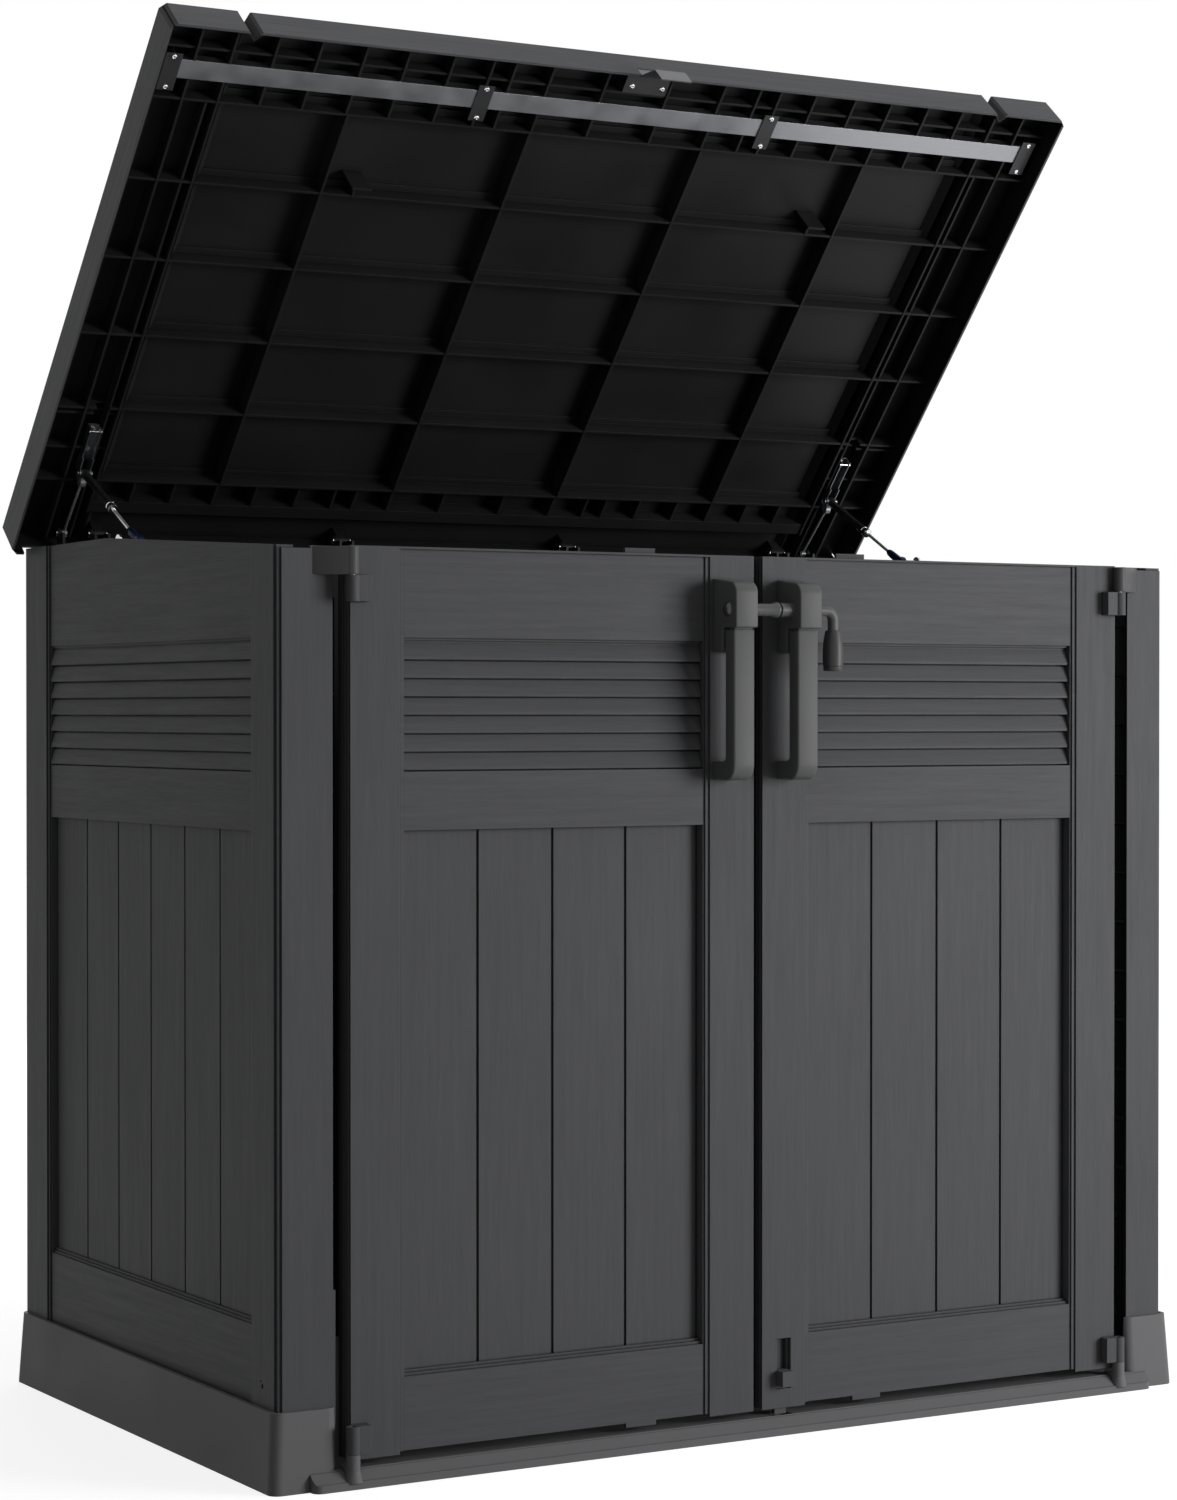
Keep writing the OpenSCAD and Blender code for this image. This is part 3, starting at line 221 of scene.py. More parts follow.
def blend(tree, kind, amount, first, second):
    """Mixes two values or colours."""
    mixed = add_node(tree, "ShaderNodeMix", data_type=kind)
    slots = [socket for socket in mixed.inputs if socket.enabled]
    for socket, source in zip(slots, (amount, first, second)):
        if isinstance(source, bpy.types.NodeSocket):
            link(tree, source, socket)
        else:
            socket.default_value = source
    return [socket for socket in mixed.outputs if socket.enabled][0]


def group_tree(name, inputs, outputs):
    """A new group of (name, socket type, default) inputs and (name, socket type) outputs."""
    tree = bpy.data.node_groups.new(name, "ShaderNodeTree")
    for label, kind, default in inputs:
        socket = tree.interface.new_socket(label, in_out="INPUT", socket_type=kind)
        if default is not None:
            socket.default_value = default
    for label, kind in outputs:
        tree.interface.new_socket(label, in_out="OUTPUT", socket_type=kind)
    start = tree.nodes.new("NodeGroupInput")
    end = tree.nodes.new("NodeGroupOutput")
    return tree, start.outputs, end.inputs


def scaled(tree, vector, scale):
    node = add_node(tree, "ShaderNodeVectorMath", operation="MULTIPLY")
    link(tree, vector, node.inputs[0])
    node.inputs[1].default_value = scale
    return node.outputs[0]


def noise(tree, vector, scale, detail=2.0, roughness=0.5):
    node = add_node(tree, "ShaderNodeTexNoise")
    link(tree, vector, node.inputs["Vector"])
    node.inputs["Scale"].default_value = scale
    node.inputs["Detail"].default_value = detail
    node.inputs["Roughness"].default_value = roughness
    return node.outputs["Fac"]


TEXTURE_OUTPUTS = (
    ("Colour", "NodeSocketColor"), ("Roughness", "NodeSocketFloat"), ("Height", "NodeSocketFloat")
)


def brushed_grain_group():
    """Fine streaks that run up the stiles and planks and along the rails and slats."""
    name = "Brushed wood grain"
    if name in bpy.data.node_groups:
        return bpy.data.node_groups[name]
    grain = bpy.context.scene.box_grain
    inputs = [
        ("Place", "NodeSocketVector", None),
        ("Rail", "NodeSocketFloat", 0.0),
        ("Colour", "NodeSocketColor", (0.08, 0.08, 0.085, 1)),
        ("Contrast", "NodeSocketFloat", grain.contrast),
    ]
    tree, given, made = group_tree(name, inputs, TEXTURE_OUTPUTS)
    wide, long = 1 / grain.streak_width, 1 / grain.streak_length
    broader, drift_share, fine_share = 0.22, 0.45, 0.55
    streaks = []
    for upright in (True, False):
        stretch = (wide, wide, long) if upright else (long, long, wide)
        vector = scaled(tree, given["Place"], stretch)
        broad = scaled(tree, given["Place"], [broader * part for part in stretch])
        fine = math_node(tree, "MULTIPLY", noise(tree, vector, 1.0, 3.0, 0.62), fine_share)
        drift = noise(tree, broad, 1.0, 2.0)
        streaks.append(math_node(tree, "MULTIPLY_ADD", drift, drift_share, fine))
    streak = blend(tree, "FLOAT", given["Rail"], *streaks)
    cloud = math_node(tree, "SUBTRACT", noise(tree, given["Place"], 3.0, 2.0), 0.5)
    swing = math_node(tree, "SUBTRACT", streak, 0.5)
    depth = math_node(tree, "MULTIPLY", given["Contrast"], 4.0)
    gain = math_node(tree, "MULTIPLY_ADD", swing, depth, 1.0)
    gain = math_node(tree, "MULTIPLY_ADD", cloud, 0.16, gain)
    tinted(tree, given, made, gain)
    link(tree, math_node(tree, "MULTIPLY_ADD", swing, -0.35, 0.5), made["Roughness"])
    link(tree, streak, made["Height"])
    return tree


def moulded_resin_group():
    """The faint mottling and fine spark-eroded texture of smooth moulded resin."""
    name = "Moulded resin"
    if name in bpy.data.node_groups:
        return bpy.data.node_groups[name]
    inputs = [
        ("Place", "NodeSocketVector", None),
        ("Colour", "NodeSocketColor", (0.1, 0.1, 0.1, 1)),
        ("Mottle", "NodeSocketFloat", 0.12),
        ("Roughness", "NodeSocketFloat", 0.5),
    ]
    tree, given, made = group_tree(name, inputs, TEXTURE_OUTPUTS)
    cloud = math_node(tree, "SUBTRACT", noise(tree, given["Place"], 9.0, 3.0), 0.5)
    speck = math_node(tree, "SUBTRACT", noise(tree, given["Place"], 900.0, 2.0), 0.5)
    both_marks = math_node(tree, "MULTIPLY_ADD", speck, 0.5, cloud)
    gain = math_node(tree, "MULTIPLY_ADD", both_marks, given["Mottle"], 1.0)
    tinted(tree, given, made, gain)
    rough = math_node(tree, "MULTIPLY_ADD", both_marks, 0.2, given["Roughness"])
    link(tree, rough, made["Roughness"])
    link(tree, speck, made["Height"])
    return tree


def worn_metal_group():
    """Fine draw lines along X and soft handling marks on bare or painted metal."""
    name = "Worn metal"
    if name in bpy.data.node_groups:
        return bpy.data.node_groups[name]
    inputs = [
        ("Place", "NodeSocketVector", None),
        ("Colour", "NodeSocketColor", (0.5, 0.5, 0.5, 1)),
        ("Lines", "NodeSocketFloat", 0.15),
        ("Roughness", "NodeSocketFloat", 0.3),
    ]
    tree, given, made = group_tree(name, inputs, TEXTURE_OUTPUTS)
    lines = noise(tree, scaled(tree, given["Place"], (12.0, 1500.0, 1500.0)), 1.0, 2.0)
    smear = math_node(tree, "SUBTRACT", noise(tree, given["Place"], 30.0, 3.0), 0.5)
    swing = math_node(tree, "SUBTRACT", lines, 0.5)
    gain = math_node(tree, "MULTIPLY_ADD", swing, given["Lines"], 1.0)
    tinted(tree, given, made, gain)
    rough = math_node(tree, "MULTIPLY_ADD", smear, 0.25, given["Roughness"])
    link(tree, rough, made["Roughness"])
    link(tree, lines, made["Height"])
    return tree


def seen_rays(tree):
    """1 for what the camera sees straight on, in a mirror or through glass."""
    rays = add_node(tree, "ShaderNodeLightPath").outputs
    mirrored = math_node(tree, "MAXIMUM", rays["Is Glossy Ray"], rays["Is Transmission Ray"])
    return math_node(tree, "MAXIMUM", rays["Is Camera Ray"], mirrored)


def new_material(name):
    material = bpy.data.materials.new(name)
    material.use_nodes = True
    tree = material.node_tree
    tree.nodes.clear()
    shader = tree.nodes.new("ShaderNodeBsdfPrincipled")
    output = tree.nodes.new("ShaderNodeOutputMaterial")
    link(tree, shader.outputs["BSDF"], output.inputs["Surface"])
    place = tree.nodes.new("ShaderNodeTexCoord").outputs["Object"]
    return material, tree, shader, place


def softened_bump(tree, shader, height, strength, distance, rounded):
    """Bump from height on the rounded edges."""
    bump = add_node(tree, "ShaderNodeBump")
    bump.inputs["Strength"].default_value = strength
    bump.inputs["Distance"].default_value = distance
    link(tree, height, bump.inputs["Height"])
    link(tree, rounded, bump.inputs["Normal"])
    link(tree, bump.outputs["Normal"], shader.inputs["Normal"])


def rounded_normal(tree, radius):
    """The surface's direction with its edges rounded off."""
    bevel = add_node(tree, "ShaderNodeBevel", samples=4)
    bevel.inputs["Radius"].default_value = radius
    return bevel.outputs["Normal"]


def painted_light_group():
    """Darkens a colour in corners and grooves as painted shade and lightens it on the outer edges
    as a painted highlight.
    """
    name = "Edge wear and grime"
    if name in bpy.data.node_groups:
        return bpy.data.node_groups[name]
    inputs = [
        ("Colour", "NodeSocketColor", (0.08, 0.08, 0.085, 1)),
        ("Rounded", "NodeSocketVector", None),
        ("Flat", "NodeSocketVector", None),
        ("Open", "NodeSocketFloat", 1.0),
        ("Grime", "NodeSocketFloat", 0.7),
        ("Wear", "NodeSocketFloat", 0.3),
    ]
    tree, given, made = group_tree(name, inputs, [("Colour", "NodeSocketColor")])
    bend = add_node(tree, "ShaderNodeVectorMath", operation="DOT_PRODUCT")
    link(tree, given["Rounded"], bend.inputs[0])
    link(tree, given["Flat"], bend.inputs[1])
    bent, uncovered, darkest, depth = (0.995, 0.85), (0.8, 0.95), 0.08, 1.6
    edge = remapped(tree, bend.outputs["Value"], bent)
    outer = remapped(tree, given["Open"], uncovered)
    # Painted highlight on the outer, open edges
    bright = math_node(tree, "MULTIPLY", edge, outer)
    lift = math_node(tree, "MULTIPLY_ADD", bright, given["Wear"], 1.0)
    # Painted shade in corners and grooves, darker the more closed in the surface is
    shut = math_node(tree, "SUBTRACT", 1.0, given["Open"])
    crease_shade = math_node(tree, "MULTIPLY", shut, given["Grime"])
    shade = math_node(tree, "SUBTRACT", 1.0, math_node(tree, "MULTIPLY", crease_shade, depth))
    gain = math_node(tree, "MULTIPLY", lift, math_node(tree, "MAXIMUM", shade, darkest))
    tinted(tree, given, made, gain)
    return tree


def colour_with_painted_light(tree, shader, shade, rounded, painted_highlight, painted_shade=0.75, reach=2.8 * MM):
    """Feeds the colour to the shader, with painted shade in the grooves and a painted highlight on
    the edges.
    """
    flat = tree.nodes.new("ShaderNodeNewGeometry").outputs["True Normal"]
    hollow = add_node(tree, "ShaderNodeAmbientOcclusion", samples=4, only_local=True)
    hollow.inputs["Distance"].default_value = reach
    node = add_node(tree, "ShaderNodeGroup", node_tree=painted_light_group())
    sources = {"Colour": shade, "Rounded": rounded, "Flat": flat, "Open": hollow.outputs["AO"]}
    for name, source in sources.items():
        link(tree, source, node.inputs[name])
    node.inputs["Grime"].default_value = painted_shade
    node.inputs["Wear"].default_value = painted_highlight
    link(tree, node.outputs["Colour"], shader.inputs["Base Color"])


def use_group(tree, group, place, **values):
    node = add_node(tree, "ShaderNodeGroup", node_tree=group)
    link(tree, place, node.inputs["Place"])
    for name, value in values.items():
        if isinstance(value, bpy.types.NodeSocket):
            link(tree, value, node.inputs[name])
        else:
            node.inputs[name].default_value = value
    return node.outputs


def rail_mask(tree, place, axis, field, plank_z):
    """1 on the rails and louvres, where the grain lies flat, 0 on the stiles and planks."""
    split = add_node(tree, "ShaderNodeSeparateXYZ")
    link(tree, place, split.inputs[0])
    across = split.outputs[axis]
    if axis == "X":
        across = math_node(tree, "ABSOLUTE", across)
    inside = between(tree, across, *field)
    planks = between(tree, split.outputs["Z"], *plank_z)
    return math_node(tree, "MULTIPLY", inside, math_node(tree, "SUBTRACT", 1.0, planks))


def inside_mask(tree, place, limits):
    """1 between the sides, behind the front, before the back and under the top, 0 elsewhere."""
    half, front, back, top = limits
    split = add_node(tree, "ShaderNodeSeparateXYZ")
    link(tree, place, split.inputs[0])
    unlimited = -1.0
    across = math_node(tree, "ABSOLUTE", split.outputs["X"])
    inside = between(tree, across, unlimited, half)
    for name, low, high in (("Y", front, back), ("Z", unlimited, top)):
        inside = math_node(tree, "MULTIPLY", inside, between(tree, split.outputs[name], low, high))
    return inside


def grained_resin(name, axis, field, plank_z, inside=None):
    """Brushed graphite resin; what lies within the inside limits is painted black as painted shade.
    """
    settings = bpy.context.scene.box_finish
    grain = bpy.context.scene.box_grain
    material, tree, shader, place = new_material(name)
    rail = rail_mask(tree, place, axis, field, plank_z)
    out = use_group(tree, brushed_grain_group(), place, Rail=rail, Colour=tuple(settings.graphite))
    shade = out["Colour"]
    # Painted shade: the faces within the inside limits are painted black
    if inside:
        hidden = inside_mask(tree, place, inside)
        shade = blend(tree, "RGBA", hidden, shade, tuple(settings.black_resin_and_shade))
    rounded = rounded_normal(tree, grain.edge_round)
    # Painted shade in the grooves and a painted highlight on the edges
    colour_with_painted_light(tree, shader, shade, rounded, painted_highlight=0.6)
    link(tree, out["Roughness"], shader.inputs["Roughness"])
    shader.inputs["Specular IOR Level"].default_value = 0.06
    softened_bump(tree, shader, out["Height"], grain.relief, 0.4 * MM, rounded)
    return material


def smooth_resin(name, shade, roughness=0.5, mottle=0.12, gloss=0.08):
    """Moulded resin without a grain; gloss is how strongly it mirrors."""
    material, tree, shader, place = new_material(name)
    texture = moulded_resin_group()
    out = use_group(
        tree, texture, place, Colour=tuple(shade), Roughness=roughness, Mottle=mottle
    )
    rounded = rounded_normal(tree, 1 * MM)
    # Painted shade in the grooves and a painted highlight on the edges
    colour_with_painted_light(tree, shader, out["Colour"], rounded, painted_highlight=0.25)
    link(tree, out["Roughness"], shader.inputs["Roughness"])
    shader.inputs["Specular IOR Level"].default_value = gloss
    softened_bump(tree, shader, out["Height"], 0.15, 0.2 * MM, rounded)
    return material


def metal(name, shade, roughness=0.3, metallic=1.0, lines=0.15):
    """Bare, plated or painted metal; lines is how far its draw lines stand out."""
    material, tree, shader, place = new_material(name)
    texture = worn_metal_group()
    out = use_group(tree, texture, place, Colour=tuple(shade), Roughness=roughness, Lines=lines)
    link(tree, out["Colour"], shader.inputs["Base Color"])
    link(tree, out["Roughness"], shader.inputs["Roughness"])
    shader.inputs["Metallic"].default_value = metallic
    rounded = rounded_normal(tree, 0.5 * MM)
    softened_bump(tree, shader, out["Height"], 0.1, 0.1 * MM, rounded)
    return material


def lid_resin(name):
    """Grained graphite outside the skirt and glossy black on the ribbed underside."""
    settings = bpy.context.scene.box_finish
    grain = bpy.context.scene.box_grain
    material, tree, shader, place = new_material(name)
    mapping = add_node(tree, "ShaderNodeMapping", vector_type="TEXTURE")
    mapping.inputs["Location"].default_value = LID_HINGE
    mapping.inputs["Rotation"].default_value = (-LID_OPEN, 0, 0)
    link(tree, place, mapping.inputs["Vector"])
    level = mapping.outputs[0]
    inside = inside_mask(tree, level, LID_INSIDE)
    graphite, black = tuple(settings.graphite), tuple(settings.black_resin_and_shade)
    out = use_group(tree, brushed_grain_group(), level, Rail=1.0, Colour=graphite)
    dark = use_group(
        tree, moulded_resin_group(), place, Colour=black, Roughness=0.4, Mottle=0.5
    )
    shade = blend(tree, "RGBA", inside, out["Colour"], dark["Colour"])
    roughness = blend(tree, "FLOAT", inside, out["Roughness"], dark["Roughness"])
    rounded = rounded_normal(tree, grain.edge_round)
    # Painted shade among the ribs and grooves and a painted highlight on the edges
    colour_with_painted_light(tree, shader, shade, rounded, painted_highlight=0.8, painted_shade=0.5, reach=12 * MM)
    link(tree, roughness, shader.inputs["Roughness"])
    shader.inputs["Specular IOR Level"].default_value = 0.1
    softened_bump(tree, shader, out["Height"], 0.2, 0.3 * MM, rounded)
    return material


def dress(material, *nodes):
    for name in nodes:
        for slot in NODES[name].material_slots:
            slot.material = material


def pair(name):
    return [name + "_" + side for side in SIDES]


# Modelling helpers


def activate(obj):
    bpy.ops.object.select_all(action="DESELECT")
    obj.select_set(True)
    bpy.context.view_layer.objects.active = obj


def settle(obj):
    """Puts the piece's place, turn and scale into its mesh."""
    activate(obj)
    bpy.ops.object.transform_apply(location=True, rotation=True, scale=True)


def start_block(name, low, high):
    low, high = Vector(low), Vector(high)
    bpy.ops.object.select_all(action="DESELECT")
    bpy.ops.mesh.primitive_cube_add(size=1, location=(low + high) / 2, scale=high - low)
    obj = bpy.context.object
    obj.name = obj.data.name = name
    settle(obj)
    return obj


def shape(obj, kind, chosen, action, **values):
    """Runs an edit operator on the faces or edges whose middle and direction pass the test."""
    mesh = obj.data
    activate(obj)
    for parts in (mesh.vertices, mesh.edges, mesh.polygons):
        parts.foreach_set("select", [False] * len(parts))
    if kind == "FACE":
        picked = [face for face in mesh.polygons if chosen(face.center, face.normal)]
    else:
        ends = [[mesh.vertices[k].co for k in edge.vertices] for edge in mesh.edges]
        picked = [
            edge for edge, (a, b) in zip(mesh.edges, ends)
            if chosen((a + b) / 2, (b - a).normalized())
        ]
    if not picked:
        raise RuntimeError("Nothing was chosen on " + obj.name)
    for part in picked:
        part.select = True
        for k in part.vertices:
            mesh.vertices[k].select = True
    bpy.context.tool_settings.mesh_select_mode = (False, kind == "EDGE", kind == "FACE")
    bpy.ops.object.mode_set(mode="EDIT")
    action(**values)
    bpy.ops.object.mode_set(mode="OBJECT")


def everywhere(at, facing):
    return True


def extrude(shift):
    bpy.ops.mesh.extrude_region_move(TRANSFORM_OT_translate={"value": shift})


def draw_out(obj, chosen, shift):
    """Extrudes the chosen faces by shift."""
    shape(obj, "FACE", chosen, extrude, shift=shift)


def round_edges(obj, chosen, radius, segments):
    shape(obj, "EDGE", chosen, bpy.ops.mesh.bevel, offset=radius, segments=segments, affect="EDGES")


def split_at(obj, point, normal):
    """Cuts the faces along a plane."""
    shape(obj, "FACE", everywhere, bpy.ops.mesh.bisect, plane_co=point, plane_no=normal)


def cut_away(obj, point, outward):
    """Takes off what lies beyond a plane and closes the cut."""
    shape(
        obj, "FACE", everywhere, bpy.ops.mesh.bisect,
        plane_co=point, plane_no=outward, use_fill=True, clear_outer=True,
    )


def soften(obj, width, segments=3, angle=40):
    """Rounds every edge sharper than the angle."""
    activate(obj)
    bevel = obj.modifiers.new("Soft edges", "BEVEL")
    bevel.width = width
    bevel.segments = segments
    bevel.angle_limit = math.radians(angle)
    bpy.ops.object.modifier_apply(modifier=bevel.name)


def turned(name, start, direction, rings, sides=32):
    """A piece turned about a line from start; a ring is (distance along it, radius) in mm.

    It is closed at its ends, or open right through where the last ring is also the first.
    """
    rings = [(place * MM, wide * MM) for place, wide in rings]
    here, radius = rings[0]
    hollow = rings[0] == rings[-1]
    bpy.ops.object.select_all(action="DESELECT")
    bpy.ops.mesh.primitive_circle_add(
        vertices=sides, radius=radius, fill_type="NOTHING" if hollow else "NGON",
        location=(0, 0, here),
    )
    obj = bpy.context.object
    obj.name = obj.data.name = name
    settle(obj)
    bpy.context.tool_settings.mesh_select_mode = (False, hollow, not hollow)
    bpy.ops.object.mode_set(mode="EDIT")
    bpy.ops.mesh.select_all(action="SELECT")
    for place, wide in rings[1:]:
        extrude((0, 0, place - here))
        bpy.ops.transform.resize(
            value=(wide / radius, wide / radius, 1), center_override=(0, 0, place)
        )
        here, radius = place, wide
    bpy.ops.mesh.select_all(action="SELECT")
    bpy.ops.mesh.remove_doubles(threshold=0.01 * MM)
    bpy.ops.mesh.normals_make_consistent(inside=False)
    bpy.ops.object.mode_set(mode="OBJECT")
    obj.rotation_euler = Vector(direction).to_track_quat("Z", "Y").to_euler()
    obj.location = start
    settle(obj)
    return obj


def copied(obj, shift):
    """A copy with its own mesh, moved by shift."""
    twin = obj.copy()
    twin.data = obj.data.copy()
    bpy.context.scene.collection.objects.link(twin)
    twin.location = shift
    settle(twin)
    return twin


def joined(name, parts):
    activate(parts[0])
    for part in parts[1:]:
        part.select_set(True)
    bpy.ops.object.join()
    parts[0].name = parts[0].data.name = name
    return parts[0]


def on_lid(obj):
    """Turns a piece from the shut lid's frame, whose origin is the hinge, onto the open lid."""
    obj.rotation_euler = (-LID_OPEN, 0, 0)
    obj.location = LID_HINGE
    settle(obj)
    return obj


def under_lid(x, back, down):
    """A place in the shut lid's frame, from mm across, behind its front and below its top."""
    return Vector((x * MM, (back - LID_REACH) * MM, (LID_RISE - down) * MM))


def finish_piece(obj, body, material, nodes=()):
    activate(obj)
    obj.data.materials.clear()
    obj.data.materials.append(material)
    bpy.ops.object.shade_smooth_by_angle(angle=math.radians(32))
    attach(obj, body)
    if nodes:
        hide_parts(*nodes)


# The pieces


class DressBody(bpy.types.Operator):
    """Finish the base, the walls and the ears that carry the lid"""

    bl_idname = "storage_box.dress_body"
    bl_label = "Body"

    def execute(self, context):
        settings = context.scene.box_finish
        planks = (SIDE_RAIL_Z, PLANK_Z[1])
        # The walls' inner faces are painted black as painted shade
        wall = grained_resin("wall_resin", "Y", SIDE_FIELD_Y, planks, WALL_INSIDE)
        dress(wall, "left_panel", "right_panel", "back_panel")
        dress(smooth_resin("base_resin_satin", settings.base_grey), "base")
        dress(smooth_resin("bracket_resin_black", settings.black_resin_and_shade, 0.4), "lid_hinge_brackets")
        return {"FINISHED"}


class DressDoors(bpy.types.Operator):
    """Finish both doors and the bolt that slides in the right one"""

    bl_idname = "storage_box.dress_doors"
    bl_label = "Doors"

    def execute(self, context):
        settings = context.scene.box_finish
        dress(grained_resin("door_resin_grained", "X", FIELD_X, PLANK_Z), "left_door", "right_door")
        bolt = smooth_resin("bolt_resin_satin", settings.hinge_grey)
        dress(bolt, "slide_bolt", "slide_bolt_knob")
        return {"FINISHED"}


class DressLid(bpy.types.Operator):
    """Finish the lid, its bar, its straps and its latch"""

    bl_idname = "storage_box.dress_lid"
    bl_label = "Lid"

    def execute(self, context):
        settings = context.scene.box_finish
        dress(lid_resin("lid_resin_two_tone"), "lid")
        dress(metal("brushed_aluminium", settings.aluminium, 0.38), "lid_beam")
        straps = ["beam_strap_%d" % k for k in (1, 2, 3, 4)]
        dress(metal("painted_strap", settings.strap_black, 0.4, 0.2), *straps, "latch_bracket")
        dress(metal("latch_plate", settings.zinc, 0.4, 0.3), "latch_tongue")
        return {"FINISHED"}


class DressStays(bpy.types.Operator):
    """Finish the struts, their channels and arms, and the bright pins and screws"""

    bl_idname = "storage_box.dress_stays"
    bl_label = "Lid stays"

    def execute(self, context):
        settings = context.scene.box_finish
        bright = metal("bright_steel", settings.steel, 0.22)
        dress(bright, "hinge_pins", "lid_hinge_pins", "channel_screws", *pair("strut_stud"))
        dress(metal("zinc_plate", settings.channel_grey, 0.3, 0.8), *pair("strut_channel"))
        dress(metal("arm_rod", settings.channel_grey, 0.35, 0.25), *pair("hinge_arm"))
        paint = metal("strut_black_paint", settings.strap_black, 0.25, 0.1)
        dress(paint, *pair("strut_cylinder"))
        chrome = metal("strut_chrome", settings.chrome, 0.25, 0.55, lines=0.03)
        dress(chrome, *pair("strut_rod"))
        return {"FINISHED"}


class ModelHandles(bpy.types.Operator):
    """Model and finish the door handles"""

    bl_idname = "storage_box.model_handles"
    bl_label = "Door handles"

    def execute(self, context):
        settings = context.scene.box_finish
        handle = smooth_resin("handle_resin_satin", settings.handle_grey, 0.42, 0.06)
        for side in SIDES:
            grip_low, grip_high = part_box(side + "_handle_grip")
            low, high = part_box(side + "_handle_mount")
            mount = self.mount(side + "_mount_cover", low, high, grip_high.z)
            if side == "right":
                mount = joined(mount.name, [mount, self.lug(high.x, low.y, grip_high.z)])
            finish_piece(mount, side + "_door", handle, (side + "_handle_mount",))
            grip = self.grip(side + "_grip_bar", grip_low, grip_high)
            finish_piece(grip, side + "_door", handle, (side + "_handle_grip",))
        return {"FINISHED"}

    def lug(self, edge_x, front, bottom):
        """Small catch at the foot of the right mount's cheek."""
        low = (edge_x - 1 * MM, front + 5 * MM, bottom)
        high = (edge_x + 2.6 * MM, front + 16 * MM, bottom + 13 * MM)
        catch = start_block("lug", low, high)
        soften(catch, 0.8 * MM)
        return catch

    def mount(self, name, low, high, bottom):
        """Hooded mount whose back reaches down behind the grip."""
        leg_y = high.y - 22 * MM
        fall, run = 5.5, 45
        roof = Vector((0, -fall, run)).normalized()
        hood = start_block(name, (low.x, low.y, bottom), high)
        split_at(hood, (0, leg_y, 0), (0, 1, 0))

        def under_leg(at, facing):
            return facing.z < -ALONG and at.y > leg_y

        def brow(at, along):
            return abs(along.x) > ALONG and at.y < low.y + CLOSE and at.z > top - CLOSE

        def toe(at, along):
            return abs(along.x) > ALONG and at.z < low.z + CLOSE and at.y < leg_y + CLOSE

        draw_out(hood, under_leg, (0, 0, low.z - bottom))
        cut_away(hood, high, roof)
        top = max(corner.co.z for corner in hood.data.vertices if corner.co.y < low.y + CLOSE)
        round_edges(hood, brow, 14 * MM, 10)
        round_edges(hood, toe, 8 * MM, 6)
        soften(hood, 2 * MM)
        return hood

    def grip(self, name, low, high):
        """Bar with a foot that curves back to the door, on a narrower neck."""
        thick, foot, neck, nose, rim = 20 * MM, 25 * MM, 3.4 * MM, 22 * MM, 1.5 * MM
        middle = (low.x + high.x) / 2
        half = (high.x - low.x) / 2
        back = low.y + thick

        def foot_back(at, facing):
            return facing.y > ALONG and at.z < low.z + foot

        def top_face(at, facing):
            return facing.z > ALONG and at.z > high.z - 2 * neck

        def raise_neck():
            bpy.ops.mesh.inset(thickness=3.5 * MM)
            extrude((0, 0, neck))

        def nose_edge(at, along):
            return abs(along.x) > ALONG and at.y < low.y + CLOSE and at.z < low.z + CLOSE

        def inner_corner(at, along):
            off = max(abs(at.y - back), abs(at.z - low.z - foot))
            return abs(along.x) > ALONG and off < CLOSE

        def front_rim(at, along):
            if abs(along.x) > ACROSS or abs(at.x - middle) < half - CLOSE:
                return False
            out = math.hypot(at.y - low.y - nose, at.z - low.z - nose)
            on_nose = at.y < low.y + nose and at.z < low.z + nose and out > nose - rim
            return at.y < low.y + CLOSE or at.z < low.z + CLOSE or on_nose

        bar = start_block(name, (low.x, low.y, low.z + foot), (high.x, back, high.z - neck))
        draw_out(bar, lambda at, facing: facing.z < -ALONG, (0, 0, -foot))
        draw_out(bar, foot_back, (0, high.y - back, 0))
        shape(bar, "FACE", top_face, raise_neck)
        round_edges(bar, nose_edge, nose, 12)
        round_edges(bar, inner_corner, 7 * MM, 5)
        round_edges(bar, front_rim, 3.2 * MM, 4)
        soften(bar, 1.2 * MM, 2, 50)
        return bar


